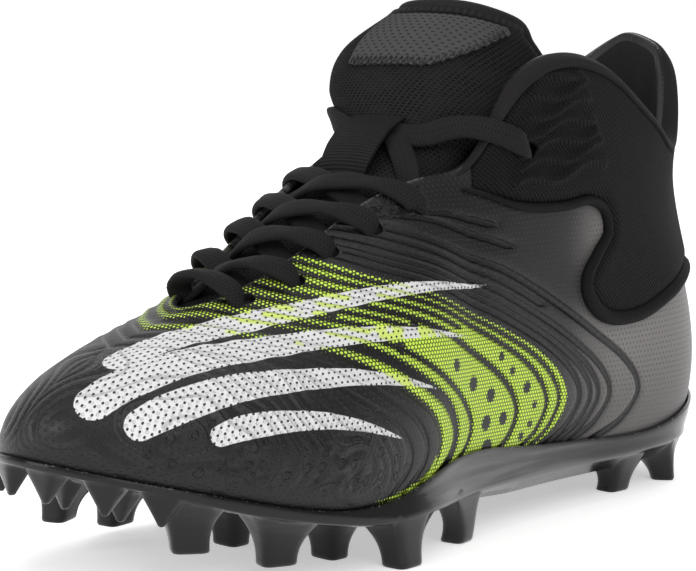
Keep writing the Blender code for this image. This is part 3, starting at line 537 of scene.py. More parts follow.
# A number for each row: below 0 on the tread, 0 at the underside's edge, 1 at the chine and so on
last = len(corner_rings) - 1.0
band = [*-inward, *eased_corners(list(np.arange(last + 1)), EDGE_ROUNDING), *(last + BED_SHARES)]
rings = [*tread, *rings, *closed_across(rings[-1], BED_SHARES)]
band = np.repeat(np.array(band)[:, None], len(rings[0]), axis=1)
plate = sheet("stud_plate", np.array(rings), fields={"band": band}, angle=50)
under = surface_tree(plate)
bands = [value.value for value in plate.data.attributes["band"].data]
corners = [[(bands[vertex], plate.data.vertices[vertex].co.copy()) for vertex in face.vertices]
           for face in plate.data.polygons]
studs = [stud_sheet(row, STUD_SPREAD) for row in STUDS]
studs += [stud_sheet((*row[:2], *TOOTH_SIZE, *row[2:]), TOOTH_SPREAD) for row in TEETH]
choose(*studs)
bpy.ops.object.join()
apply_modifier(plate, "BOOLEAN", operation="UNION", solver="EXACT", use_self=True, object=studs[0])
bpy.data.objects.remove(studs[0])
choose(plate)
bpy.ops.object.shade_smooth_by_angle(angle=math.radians(STUD_ANGLE))


def band_at(place):
    """Which ring of the plate a place lies on or between, or 0 for a place on a stud."""
    _, _, face, distance = under.find_nearest(place)
    if distance > ON_PLATE:
        return 0.0
    near = [(value, 1 / max((corner - place).length, WELD) ** 2) for value, corner in corners[face]]
    return sum(value * weight for value, weight in near) / sum(weight for _, weight in near)


for value, vertex in zip(plate.data.attributes["band"].data, plate.data.vertices):
    value.value = band_at(vertex.co)

moulded = Finish("moulded_plate")
place, x, _, z = moulded.places()
band = moulded.field("band")
smoke = x.rise(42.0, 18.0) * (0.15 + 0.75 * x.rise(-80.0, -30.0)) * z.rise(2.0, 15.0)
streaked = moulded.add("VectorMath", {"operation": "MULTIPLY"}, Vector=place,
                       Vector_001=(0.35, 0.7, 2.0))["Vector"]
along_wall = moulded.add("CombineXYZ", X=x * 0.012, Y=band * 0.8)["Vector"]
# The stretched cloud mottles the smoke's tone and also paints streaks of reflection; the streaks along
# the wall are painted reflection
cloud = moulded.noise(streaked, 16.0, detail=4.0, roughness=0.6).rise(0.3, 0.7)
streak_reflection = moulded.noise(along_wall, 1.0, detail=2.0).rise(0.42, 0.6)
# Painted highlight: a lighter line along the chine
chine_highlight = abs(band - 1.15).rise(0.35, 0.1)
glint = abs(band - 4.2).rise(0.5, 0.2) * moulded.noise(place, 0.9, detail=1.0).rise(0.6, 0.68)
# Painted shade: the lower facet under the chine and the studs are made darker
lower_facet_shade = 0.55 + 0.45 * band.rise(0.7, 1.2)
# The smoke's share of colour, carrying the painted shade, streaks of reflection, chine highlight and rim
# glints
clear = smoke * lower_facet_shade * (0.2 + 0.25 * cloud + 0.55 * streak_reflection) + smoke * chine_highlight * 0.4 + glint * 0.8
rounded = moulded.relief(moulded.noise(streaked, 9.0, detail=2.0) * 0.3)
moulded.surface(
    Base_Color=moulded.mix(clear, (0.0028, 0.0028, 0.003), (0.138, 0.134, 0.136)),
    Roughness=0.09 + 0.13 * moulded.noise(place, 9.0, detail=5.0),
    Specular_IOR_Level=0.24, Coat_Weight=0.2, Coat_Roughness=0.05,
    Normal=moulded.add("Bevel", {"samples": 6}, Radius=2.2 * MM, Normal=rounded)["Normal"],
)
dress(plate, moulded, "moulded_plate", "sole_plate")

# Film shell
# The upper is a fused film over a knit backing, pressed hot so that ribs stand up in nested loops
# behind the lace holes, with fine pin holes all over. Print in neon dots, white and a grey fade, the
# fade with painted shade towards the sole.
SHELL_STEPS, SHELL_ROWS = 300, 118
SHELL_WALL, COLLAR_PADDING = 2.2, 3.4
PADDED_FROM, PADDED_FULL = 0.45, 0.8
CREST_SHARE, CREST_ROWS, INSIDE_ROWS, EDGE_BELOW, BACKING_PAD = 0.3, 5, 9, 0.93, (0.3, 0.1)
EYELETS = ((69.0, 77.5), (54.0, 82.0), (40.5, 89.5), (26.0, 95.5), (10.0, 100.5))
CUFF_EYELET = (-29.0, 116.0)
EYELET_RADIUS, EYELET_DEPTH, EYELET_SIDES = 2.4, 9.0, 24
FLAT_COLUMNS, FLAT_ROWS = 120, 30
# Grids on which a place on the form, or among the loops below, is sought before it is refined
SEARCH_COLUMNS, SEARCH_HEIGHTS = 240, np.linspace(0.2, 1, 160)
LOOP_GRID = np.linspace(-0.8, 3, 96), np.linspace(-0.25, 1.15, 170)
# Three of the nested loops on the flat pattern, from the throat's edge back, round and down to the plate
LOOPS = np.array([
    [(140, 70), (127, 60), (112, 51.5), (98, 45), (86, 38.5),
     (73, 30.5), (62, 23.6), (55.5, 16), (56, 9.5), (62, 4)],
    [(88, 80), (74, 68), (60, 61), (40, 53.5), (20, 46),
     (0, 37), (-12, 28.5), (-17, 20), (-12, 11), (-2, 5)],
    [(62, 82), (50, 76), (35, 70), (15, 62.5), (-5, 53),
     (-25, 42.5), (-46, 30), (-54, 19.5), (-47, 10.5), (-34, 5)],
], float)
# Grooves between the ribs: place among the loops, half width, depth, share of the loop that they run
GROOVES = (
    (-0.24, 0.5, 0.35, 1), (-0.12, 0.6, 0.5, 1), (0.0, 0.7, 0.7, 1), (0.14, 2.2, 0.8, 1),
    (0.28, 0.9, 0.8, 1), (0.40, 0.8, 0.7, 0.3), (0.52, 0.8, 0.7, 0.35), (0.632, 1.1, 0.9, 1),
    (0.75, 0.8, 0.7, 0.4), (0.855, 0.9, 0.8, 1), (0.945, 0.8, 0.8, 1), (1.18, 0.8, 0.9, 1),
    (1.33, 0.8, 0.9, 1), (1.44, 0.8, 0.9, 1), (1.60, 0.8, 0.9, 1), (1.80, 0.7, 0.8, 0.45),
    (2.0, 0.9, 1.0, 1), (2.45, 0.8, 0.9, 0.28), (2.73, 0.8, 0.9, 0.2),
)
# Their section: share of the depth, flat share of the half width, softness, and how fast they run out
GROOVE_DEPTH, GROOVE_FLAT, GROOVE_SOFT, RUN_OUT = 0.7, 0.3, 1.3, 120.0
# A place on the line under the cuff's corner above which there are no ribs, its slope and softness
RIB_LIMIT, LIMIT_SLOPE, LIMIT_SOFT = (20.5, 81.5), 0.353, 2.0
DART_POINTS = 40
# White darts: places along each and its half width there, from a round head to a drawn-out tail
DARTS = (
    ((149, 56, 4.2), (140, 58.5, 4.8), (122, 60.5, 4.4), (95, 61, 3.2), (60, 60.5, 1.9), (22, 59, 0.1)),
    ((158, 44.5, 4.6), (149, 46.8, 5.2), (128, 49.3, 4.7), (100, 49.5, 3.4), (70, 47.5, 2.0),
     (38, 44, 0.1)),
    ((151, 35.0, 3.7), (142, 36.3, 4.3), (122, 38.0, 3.9), (98, 37, 2.8), (76, 34, 1.5), (58, 30, 0.1)),
    ((134, 27.0, 2.6), (126, 27.6, 3.1), (110, 26.5, 2.5), (95, 23.5, 1.6), (76, 17.5, 0.1)),
)
# Dark spots in the neon: place and radius
BLOBS = (
    (5.5, 25.5, 1.7), (25.5, 25, 2.0), (36, 29.5, 2.1), (17.5, 17, 1.9), (27, 16.5, 2.2),
    (0.5, 19.5, 1.0), (25, 8.5, 2.6), (2, 13.5, 1.0), (6, 10, 1.2), (14, 31.5, 1.2), (47, 36, 1.6),
    (72, 43, 1.8), (64, 50, 1.5), (80, 47.5, 1.4), (90, 57, 1.5), (20, 36.5, 1.2), (-1.5, 27.5, 0.9),
)
# Print that trails off forward along the plate
TAIL = ((57, 9, 1.5), (59, 5.5, 1.5), (65, 3.0, 1.4), (72, 1.6, 1.1), (80, 0.8, 0.8), (87, 0.5, 0.3))
# Hills whose contours make the toe's ripples: place, radius and height
HILLS = ((150, 26, 16, 4.0), (171, 46, 11, 4.0), (121, 14, 13, 3.5), (144, 66, 10, 3.0),
         (92, 10, 11, 3.0), (133, 42, 20, 3.5))
RIPPLE_STEPS, RIPPLE_DEPTH, TOE_X, TOE_FOOT = 1.7, 0.2, (66, 84), (0.02, 0.13)
# Raised rings scattered over the forefoot, and the range of their places and radii
RINGS, RING_HEIGHT, RING_WIDTH, RING_RANGES = 34, 0.4, 0.55, ((92, 160), (3, 31), (1.0, 2.2))
# Lines along which the forefoot bends, and the soft troughs there
FLEX = (((131, 70), (121, 48), (112, 28), (110, 12)), ((118, 62), (108, 44), (99, 26), (97, 10)))
FLEX_POINTS, FLEX_DEPTH, FLEX_WIDTH = 24, 0.45, 3.6
SMOOTH_RIM, SMOOTH_FOOT = (1.0, 7.0), (0, 0.05)
# Values that keep ribs and print off the edge and the inside
HIDDEN = {"loop": -9.0, "gap": 9.0, "tail": -9.0, "dart_edge": -9.0}


def smooth_row(rows, share):
    """Values at a share of the way along a table, by a smooth curve through its rows."""
    rows = np.array(rows, float)
    place = np.asarray(share, float) * (len(rows) - 1)
    i = np.clip(place.astype(int), 0, len(rows) - 2)
    t = (place - i)[..., None]
    before, after = rows[np.maximum(i - 1, 0)], rows[np.minimum(i + 2, len(rows) - 1)]
    start, end = rows[i], rows[i + 1]
    bend = 2 * before - 5 * start + 4 * end - after
    return start + 0.5 * t * ((end - before) + t * (bend + t * (3 * (start - end) + after - before)))


def find_on_form(side, x, z):
    """Share and height of the place on the outer (1) or inner (-1) side with this x and z."""
    lowest, highest = (0.0, TOE_SHARE) if side > 0 else (TOE_SHARE, 1.0)
    share, height = np.meshgrid(np.linspace(lowest, highest, SEARCH_COLUMNS), SEARCH_HEIGHTS)
    place = form(share, height)
    best = np.argmin((place[..., 0] - x) ** 2 + (place[..., 2] - z) ** 2)
    found, step = np.array([share.flat[best], height.flat[best]]), 1e-4
    for _ in range(4):
        here = form(*found)[[0, 2]]
        along = form(found[0] + step, found[1])[[0, 2]] - here
        upward = form(found[0], found[1] + step)[[0, 2]] - here
        found = found + step * np.linalg.solve(np.column_stack([along, upward]), [x, z] - here)
    return found


def wall_at(share, height):
    """Thickness of the upper's wall: one layer below, padded towards the collar."""
    pad = np.clip(SIZES(share)[..., 2], 0, 1)
    return SHELL_WALL + COLLAR_PADDING * pad * smooth_step(PADDED_FROM, PADDED_FULL, height)


def flat_pattern():
    """The form unrolled as a cut pattern: a table of flat places, and a way to read it at any place.
    Its x runs from the ankle to the ball of the foot on the outer side, and its y up from the sole."""
    share, height = np.meshgrid(np.linspace(0, 1, FLAT_COLUMNS + 1), np.linspace(0, 1, FLAT_ROWS + 1))
    place = form(share, height)
    bpy.ops.mesh.primitive_grid_add(x_subdivisions=FLAT_COLUMNS, y_subdivisions=FLAT_ROWS)
    last = bpy.context.object
    last.data.vertices.foreach_set("co", (place * MM).astype(np.float32).ravel())
    bpy.ops.object.mode_set(mode="EDIT")
    bpy.ops.mesh.select_all(action="SELECT")
    bpy.ops.uv.unwrap(method="ANGLE_BASED", margin=0.0)
    bpy.ops.object.mode_set(mode="OBJECT")
    count = len(last.data.loops)
    corner, found = np.empty(count, np.int32), np.empty(2 * count, np.float32)
    last.data.loops.foreach_get("vertex_index", corner)
    last.data.uv_layers.active.uv.foreach_get("vector", found)
    bpy.data.objects.remove(last)
    table = np.empty((share.size, 2))
    table[corner] = found.reshape(-1, 2)
    table = table.reshape(*share.shape, 2)
    drawn, real = (np.linalg.norm(np.diff(values, axis=1), axis=-1) for values in (table, place))
    table /= np.median(drawn / real)

    def read(share, height):
        share, height = np.broadcast_arrays(share, height)
        i = np.clip((share * FLAT_COLUMNS).astype(int), 0, FLAT_COLUMNS - 1)
        j = np.clip((height * FLAT_ROWS).astype(int), 0, FLAT_ROWS - 1)
        a, b = (share * FLAT_COLUMNS - i)[..., None], (height * FLAT_ROWS - j)[..., None]
        low = (1 - a) * table[j, i] + a * table[j, i + 1]
        return (1 - b) * low + b * ((1 - a) * table[j + 1, i] + a * table[j + 1, i + 1])

    origin, forward, upward = (read(np.array(share_of(name)), np.array(height)) for name, height in
                               (("ankle_out", 0.0), ("ball_out", 0.0), ("ankle_out", 0.3)))
    toe = unit(forward - origin)
    top = np.array([-toe[1], toe[0]])
    top = top if (upward - origin) @ top > 0 else -top
    table[:] = np.stack([(table - origin) @ toe, (table - origin) @ top], axis=-1)
    return read


def reach(place, line):
    """How far flat places lie inside a stroke: a line of points with half widths."""
    line = np.array(line, float)
    best = np.full(place.shape[:-1], -1e9)
    for start, end in zip(line, line[1:]):
        run = end[:2] - start[:2]
        t = np.clip((place - start[:2]) @ run / max(run @ run, 1e-9), 0, 1)
        apart = np.linalg.norm(place - start[:2] - t[..., None] * run, axis=-1)
        best = np.maximum(best, start[2] + (end[2] - start[2]) * t - apart)
    return best


def on_line(points):
    """A line for reach() with no width."""
    return np.column_stack([points, np.zeros(len(points))])


def loop_place(k, run):
    """Place on the flat pattern a share of the way along one of the nested loops, or beyond them."""
    inside = np.clip(run, 0, 1)
    beyond = (run - inside)[..., None] * (len(LOOPS[0]) - 1)
    first, second, third = (
        smooth_row(rows, inside) + beyond * np.where(beyond < 0, rows[1] - rows[0], rows[-1] - rows[-2])
        for rows in LOOPS)
    k = np.asarray(k)[..., None]
    return np.where(k < 1, first + (second - first) * k, second + (third - second) * (k - 1))


def crossed(a, b):
    """Cross product of directions on the flat pattern."""
    return a[..., 0] * b[..., 1] - a[..., 1] * b[..., 0]


def loop_of(place):
    """Which of the nested loops places lie on, how far along it, and millimetres to the next."""
    k, run = (values.ravel() for values in np.meshgrid(*LOOP_GRID))
    tree = KDTree(len(k))
    for i, (x0, y0) in enumerate(loop_place(k, run)):
        tree.insert((x0, y0, 0), i)
    tree.balance()
    best = [tree.find((x0, y0, 0))[1] for x0, y0 in place.reshape(-1, 2)]
    best = np.reshape(best, place.shape[:-1])
    k, run, step = k[best], run[best], 1e-3
    nearest_k = k
    for _ in range(3):
        here = loop_place(k, run)
        across = (loop_place(k + step, run) - here) / step
        along = (loop_place(k, run + step) - here) / step
        miss = place - here
        area = crossed(across, along)
        k = k + np.clip(crossed(miss, along) / area, -0.4, 0.4)
        run = np.clip(run + crossed(across, miss) / area, -0.3, 1.2)
    k = np.where(nearest_k > 2.9, 3.3, np.where(nearest_k < -0.7, -1.5, k))
    return k, run, np.where(np.abs(k - 1) > 2, 9.0, np.abs(area) / np.linalg.norm(along, axis=-1))


def inside_of(place, outline):
    """True for places inside a closed outline."""
    inside = np.zeros(place.shape[:-1], bool)
    for (x0, y0), (x1, y1) in zip(outline, np.roll(outline, -1, axis=0)):
        crosses = (y0 > place[..., 1]) != (y1 > place[..., 1])
        at = x0 + (place[..., 1] - y0) * (x1 - x0) / (y1 - y0 if y1 != y0 else 1e-9)
        inside ^= crosses & (place[..., 0] < at)
    return inside


def edge_upward(share):
    """Direction up the side where it meets the edge of collar and throat."""
    return unit(form(share, np.ones_like(share)) - form(share, np.full_like(share, EDGE_BELOW)))


def both_sides(values, inner=None):
    """A field of the outer side, carried over to the inner side too, or with the inner side's own."""
    return np.concatenate([values, (values if inner is None else inner)[:, -2::-1]], axis=1)


flat = flat_pattern()
share = round_shares(SHELL_STEPS)
heights = np.linspace(0, 1, SHELL_ROWS + 1)
half, column = np.meshgrid(share[:SHELL_STEPS + 1], heights)
spot = flat(half, column)
flat_x, flat_y = spot[..., 0], spot[..., 1]
loop, run, gap = loop_of(spot)
ribbed = smooth_step(LIMIT_SOFT, 0.0, flat_y - RIB_LIMIT[1] - LIMIT_SLOPE * (flat_x - RIB_LIMIT[0]))
relief = np.zeros(spot.shape[:2])
for k, width, depth, until in GROOVES:
    apart = np.abs(loop - k) * gap + RUN_OUT * np.maximum(run - until, 0) * (until < 1)
    across = np.maximum(apart - width * GROOVE_FLAT, 0) / GROOVE_SOFT
    relief = np.minimum(relief, -GROOVE_DEPTH * depth * np.exp(-across**2))
relief *= ribbed
blob = np.min([np.hypot(flat_x - x0, flat_y - y0) - size for x0, y0, size in BLOBS], axis=0)
tail = reach(spot, TAIL)
darts = [reach(spot, smooth_row(dart, np.linspace(0, 1, DART_POINTS))) for dart in DARTS]
dart_edge, inner_dart = np.max(darts, axis=0), np.max(darts[2:], axis=0)
ripple = sum(size * np.exp(-((flat_x - x0) ** 2 + (flat_y - y0) ** 2) / (2 * r**2))
             for x0, y0, r, size in HILLS)
ripple = RIPPLE_STEPS * ripple + 0.3 * np.sin(flat_x / 3.1) * np.sin(flat_y / 3.7)
toe_part = smooth_step(*TOE_X, flat_x) * smooth_step(-1.5, 2.5, (GROOVES[0][0] - loop) * gap)
toe_part *= smooth_step(*TOE_FOOT, column)
relief += RIPPLE_DEPTH * toe_part * (np.abs((ripple % 1) * 2 - 1) - 0.5)
draws = np.random.default_rng(11)
rings = [draws.uniform(low, high, RINGS) for low, high in RING_RANGES]
for x0, y0, size in zip(*rings):
    apart = np.hypot(flat_x - x0, flat_y - y0)
    relief += RING_HEIGHT * np.exp(-((apart - size) / RING_WIDTH) ** 2) * (dart_edge < -1.5)
for line in FLEX:
    apart = -reach(spot, on_line(smooth_row(line, np.linspace(0, 1, FLEX_POINTS))))
    relief -= FLEX_DEPTH * np.exp(-(apart / FLEX_WIDTH) ** 2)
arc = np.linalg.norm(np.diff(form(half, column), axis=0), axis=-1)
from_top = np.vstack([np.cumsum(arc[::-1], axis=0)[::-1], np.zeros_like(half[:1])])
relief *= smooth_step(*SMOOTH_RIM, from_top) * smooth_step(*SMOOTH_FOOT, column)
ink = 0.72 + 0.28 * smooth_step(104, 76, flat_x)
fade = smooth_step(-7, -48, flat_x + 0.18 * (flat_y - 40)) ** 1.25
# Painted shade: the grey fade print is made darker towards the sole
fade *= 0.5 + 0.5 * smooth_step(4, 42, flat_y)
fade += 0.65 * np.exp(-((flat_x + 38) ** 2 + (flat_y - 71) ** 2) / 220)

fields = {"loop": loop, "run": run, "gap": gap, "blob": blob, "tail": tail, "ripple": ripple,
          "toe_part": toe_part, "ink": ink, "fade": fade, "ribbed": ribbed}
around = np.broadcast_to(share, (SHELL_ROWS + 1, len(share)))
column = np.broadcast_to(heights[:, None], around.shape)
outer = skin(around, column, both_sides(relief))
top, wall, upward = np.ones_like(share), wall_at(share, 1.0), edge_upward(share)
crest = [skin(share, top, -wall * (1 - math.cos(t)) / 2)
         + upward * (wall * CREST_SHARE * math.sin(t))[:, None]
         for t in np.linspace(0, math.pi, CREST_ROWS + 2)[1:-1]]
inside = [skin(share, top * v, -wall_at(share, v)) for v in np.linspace(1, 0, INSIDE_ROWS)]
extra = len(crest) + len(inside) + 1
rows = np.vstack([outer, crest, inside, outer[:1]])
flat_rows = flat(around, column)
flat_rows = np.vstack([flat_rows, np.repeat(flat_rows[-1:], extra, axis=0)])
fields = {key: both_sides(values) for key, values in fields.items()}
fields["dart_edge"] = both_sides(dart_edge, inner_dart)
for key, values in fields.items():
    fields[key] = np.vstack([values, np.full((extra, len(share)), HIDDEN.get(key, 0.0))])
backing = np.zeros(rows.shape[:2])
backing[len(outer) - 1:len(outer) + len(crest)] = smooth_step(*BACKING_PAD, SIZES(share)[:, 2])
fields["backing"] = backing
shell = sheet("film_shell", rows, flat_rows, fields, angle=60)

film = Finish("film_shell")
place, x, y, grain = film.fabric(0.7, detail=3.0)
(loop, run, gap, blob, tail, ripple, toe_part, ink, fade, ribbed, dart_edge,
 backing) = (film.field(name) for name in fields)
groove, print_edge = 9.0, (loop * gap).math("MINIMUM", (1 - loop) * gap).math("MINIMUM", blob)
for k, width, _, until in GROOVES:
    apart = abs(loop - k) * gap
    if until < 1:
        apart = apart + (run - until).math("MAXIMUM", 0.0) * RUN_OUT
    groove = (apart - width).math("MINIMUM", groove)
    print_edge = print_edge.math("MINIMUM", apart - width * 0.75)
print_edge = print_edge.math("MAXIMUM", tail)
groove = groove + (1 - ribbed) * 9.0
ground = film.mix(fade, (0.0065, 0.0063, 0.0066), (0.175, 0.164, 0.160))
pin = film.dots(x, y, 1.9).rise(0.42, 0.2)
speck = pin * (0.12 + 0.88 * fade.rise(0.02, 0.2)) * fade.rise(0.6, 0.25)
ground = film.mix(speck * 0.5, ground, (0.16, 0.155, 0.15))
ground = film.mix(pin * fade.rise(0.3, 0.8) * 0.75, ground, 0.03)
# Painted shade: the grooves between the ribs are darkened to near black
ground = film.mix(groove.rise(0.7, -0.2) * 0.9, ground, 0.004)
dot = film.dots(x, y, 1.3)
size = print_edge.rise(-0.7, 0.9) * ink
dotted = (dot - size * 0.5).rise(0.07, -0.07) * print_edge.rise(-0.8, -0.4)
filled = print_edge.rise(0.0, 0.8) * ink.rise(0.6, 1.0)
neon = film.mix(dotted, film.mix(filled, ground, (0.05, 0.085, 0.005)), (0.60, 0.82, 0.085))
contour = abs((ripple.math("FRACT") - 0.5) * 2.0)
line = contour.rise(0.78, 0.97) * toe_part
hole = film.dots(x + y * 0.25, y, 1.85).rise(0.42, 0.26)
stain = print_edge.rise(-0.3, 0.9) * film.noise(place, 9.0).rise(0.44, 0.52)
paint = film.mix(stain, 0.66, (0.60, 0.74, 0.16))
# Painted shade: the white paint is greyed along the ripple creases
paint = film.mix(line * 0.45, paint, 0.2)
paint = film.mix(hole, paint, 0.02)
painted = (dart_edge + 0.25 * film.noise(place, 1.6)).rise(0.05, 0.22)
cell = film.add("TexVoronoi", {"voronoi_dimensions": "2D"}, Vector=place, Scale=1 / 5.5,
                Randomness=0.8)
drawn = film.add("SeparateColor", Color=cell["Color"])
ring = abs(cell["Distance"] - (0.12 + 0.12 * drawn["Green"])).rise(0.09, 0.02)
ring = ring * drawn["Red"].rise(0.35, 0.45)
ring = ring * toe_part * dart_edge.rise(-0.5, -1.5) * y.rise(36.0, 26.0)
height = groove.rise(-0.3, 0.8) * 0.75 - line * 0.3 + contour * toe_part * 0.34 + ring * 0.55
height = height - pin * (0.12 + 0.3 * toe_part) - hole * painted * 0.15 + grain * 0.05
tuft = film.noise(place, 0.9, detail=3.0).rise(0.35, 0.65)
knit_edge = film.mix(tuft, 0.008, (0.085, 0.082, 0.08))
film.cover(
    backing.rise(0.3, 0.8), film.mix(painted, neon, paint), knit_edge,
    roughness=0.37 + 0.12 * grain + 0.14 * painted + 0.12 * dotted, shine=0.34, height=height)
dress(shell, film, "film_shell", "upper")

rods = []
for side in (1, -1):
    for x0, z0 in (*EYELETS, CUFF_EYELET):
        found = find_on_form(side, x0, z0)
        bpy.ops.mesh.primitive_cylinder_add(
            vertices=EYELET_SIDES, radius=EYELET_RADIUS * MM, depth=2 * EYELET_DEPTH * MM,
            location=(form(*found) + CENTRED) * MM,
            rotation=Vector(form_normal(*found)).to_track_quat("Z", "Y").to_euler())
        rods.append(bpy.context.object)
choose(*rods)
bpy.ops.object.join()
bpy.ops.object.transform_apply(location=True, rotation=True, scale=True)
eyelet_rods = rods[0]
punched = Finish("punched_edge")
place, *_ = punched.places()
grain = punched.noise(place, 0.8)
punched.surface(Base_Color=punched.mix(grain, 0.004, 0.012), Roughness=0.6 + 0.2 * grain)
eyelet_rods.data.materials.append(punched.material)
apply_modifier(shell, "BOOLEAN", operation="DIFFERENCE", solver="EXACT", object=eyelet_rods,
               material_mode="TRANSFER")

# Ankle cuff
# The ankle is wrapped in thick spacer mesh over foam, cut in a deep S behind the ankle bone and sewn
# down on the shell. Wavy ridges are pressed into it where the ankle bends.
SEAM = ((30, 120), (4, 110), (-12, 105), (-27, 100.5), (-45, 99.3), (-59, 100.2), (-68, 96), (-70.5, 87),
        (-64, 80), (-58.5, 73), (-62, 66.5), (-71, 62), (-86, 61.8), (-103, 66), (-122, 71), (-146, 74))
SEAM_POINTS, BELOW_SEAM_Z = 151, 20
ROLL_START, UNDER_ROLL, ROLL_EASE = 0.988, 0.004, 0.03
CUFF_LIFT, CUFF_THICKNESS = 0.5, 1.8
CUFF_STEPS, CUFF_ROWS, CUFF_LOWEST = 150, 95, 0.27
CUFF_EDGE, CUFF_TUCK, CUFF_BACKING, CUFF_CUT = 5.0, 1.2, 0.8, -2.5
RIDGES, RIDGE_HEIGHT, RIDGE_WIDTH = 7, 1.9, 1.25
seam = smooth_row(SEAM, np.linspace(0, 1, SEAM_POINTS))
below_seam = np.vstack([seam, [seam[-1, 0], BELOW_SEAM_Z], [seam[0, 0], BELOW_SEAM_Z]])
share = np.concatenate([np.linspace(share_of("cuff_corner_in"), 1, CUFF_STEPS),
                        np.linspace(0, share_of("cuff_corner_out"), CUFF_STEPS)])
around, column = np.meshgrid(share, np.linspace(CUFF_LOWEST, ROLL_START, CUFF_ROWS))
place = form(around, column)[..., [0, 2]]
cuff_edge = -reach(place, on_line(seam)) * np.where(inside_of(place, below_seam), -1, 1)
cuff_front = np.where(around > 0.5, around - share[0], share[-1] - around) * PERIMETER
cuff_edge = np.minimum(cuff_edge, cuff_front)
edge = np.clip((cuff_edge + 1) / CUFF_EDGE, 0, 1)
under_roll = np.clip((ROLL_START + UNDER_ROLL - column) / ROLL_EASE, 0, 1)
round_off = np.sqrt(1 - (1 - edge) ** 2) * np.sqrt(1 - (1 - under_roll) ** 2)
offset = -CUFF_TUCK + (CUFF_LIFT + CUFF_THICKNESS + CUFF_TUCK) * round_off
spot = flat(np.where(around > 0.5, TOE_SHARE * (1 - around) / (1 - TOE_SHARE), around), column)
# Each wavy ridge is shorter than the one below it, and out of step with it
for i in range(RIDGES):
    x0 = np.linspace(-31 + 2.2 * i, 12 - 1.6 * i, 30)
    line = np.column_stack([x0, 91 + 5.2 * i + 1.7 * np.sin(x0 / 4.6 + 1.3 * i) - 0.12 * x0])
    apart = np.minimum(reach(spot, on_line(line)), 0) / RIDGE_WIDTH
    offset += RIDGE_HEIGHT * np.exp(-apart**2) * (edge > 0.9)
cuff = sheet("ankle_cuff_mesh", skin(around, column, offset), flat(around, column),
             {"cuff_edge": cuff_edge}, angle=60)
mesh = cuff.data
corner, start = np.empty(len(mesh.loops), np.int32), np.empty(len(mesh.polygons), np.int32)
values = np.empty(len(mesh.vertices), np.float32)
mesh.loops.foreach_get("vertex_index", corner)
mesh.polygons.foreach_get("loop_start", start)
mesh.attributes["cuff_edge"].data.foreach_get("value", values)
bpy.ops.object.mode_set(mode="EDIT")
bpy.ops.mesh.select_mode(type="FACE")
bpy.ops.mesh.select_all(action="DESELECT")
bpy.ops.object.mode_set(mode="OBJECT")
mesh.polygons.foreach_set("select", np.maximum.reduceat(values[corner], start) < CUFF_CUT)
bpy.ops.object.mode_set(mode="EDIT")
bpy.ops.mesh.delete(type="FACE")
bpy.ops.mesh.select_mode(type="VERT")
bpy.ops.object.mode_set(mode="OBJECT")
apply_modifier(cuff, "SOLIDIFY", thickness=CUFF_BACKING * MM, offset=-1.0)
apply_modifier(cuff, "BOOLEAN", operation="DIFFERENCE", solver="EXACT", object=eyelet_rods)

spacer = Finish("cuff_mesh")
place, x, y, thread = spacer.fabric(0.45)
rib = (x * 0.72 - y * 0.70 + 0.25 * thread).wave(1.15)
rib = rib * (0.45 + 0.55 * (x * 0.70 + y * 0.72).wave(1.15))
pore = spacer.dots(x, y, 1.5).rise(0.5, 0.3)
front = x.rise(-35.0, 0.0)
dust = spacer.noise(place, 24.0, detail=3.0)
yarn = spacer.mix(dust, (0.011, 0.011, 0.0115), (0.017, 0.017, 0.0175))
spacer.cover(
    rib * (0.5 + 0.5 * thread), (0.003, 0.003, 0.0032), yarn, roughness=0.86 - 0.1 * rib, shine=0.12,
    height=rib * 0.22 - pore * front * 0.3 + thread * 0.08, Sheen_Weight=0.02, Sheen_Roughness=0.5)
dress(cuff, spacer, "cuff_mesh", "ankle_cuff")

# Seam piping
# A round foam cord under satin tape is sewn into the seam between the cuff and the shell, thickest
# where the S turns under the heel.
PIPING_HALF, PIPING_LIFT, PIPING_SIDE, PIPING_TIP = 1.55, 0.3, 0.3, 0.3
PIPING_SWELL, PIPING_SWELL_Z = (0.8, 0.45), (92, 64)
PIPING_FRONT_X, PIPING_HEEL_X, PIPING_HEEL_POINTS, PIPING_TAPER = -7.0, -112.0, 24, 9


def cord(name, points, normals, half_width, half_height, sides=16, power=1.0):
    """A cord of oval section along points, its width lying square to the normals, with rounded ends.
    A lower power squares its section. Its pattern map runs round it and along it in millimetres."""
    along = unit(np.gradient(points, axis=0))
    up = unit(normals - along * np.sum(normals * along, axis=1, keepdims=True))
    across = np.cross(along, up)
    half_width = np.broadcast_to(half_width, len(points))
    half_height = np.broadcast_to(half_height, len(points))
    tips = [(0, -1.0, 0.0), (0, -0.8, 0.6), *((i, 0.0, 1.0) for i in range(len(points))),
            (-1, 0.8, 0.6), (-1, 1.0, 0.0)]
    wide, high = (values[:, None] for values in circle(sides, power))
    rings = [points[i] + along[i] * half_height[i] * push + grow * (
        half_width[i] * wide * across[i] + half_height[i] * high * up[i]) for i, push, grow in tips]
    run = np.concatenate([[0], np.cumsum(np.linalg.norm(np.diff(points, axis=0), axis=1))])
    run = np.array([run[i] + push * half_height[i] for i, push, _ in tips])
    turn = np.linspace(0, 2 * math.pi, sides + 1)
    girth = turn / math.pi * (half_width.mean() + half_height.mean())
    around, column = np.meshgrid(girth, run)
    return sheet(name, np.array(rings), np.stack([around, column], axis=-1), angle=60)


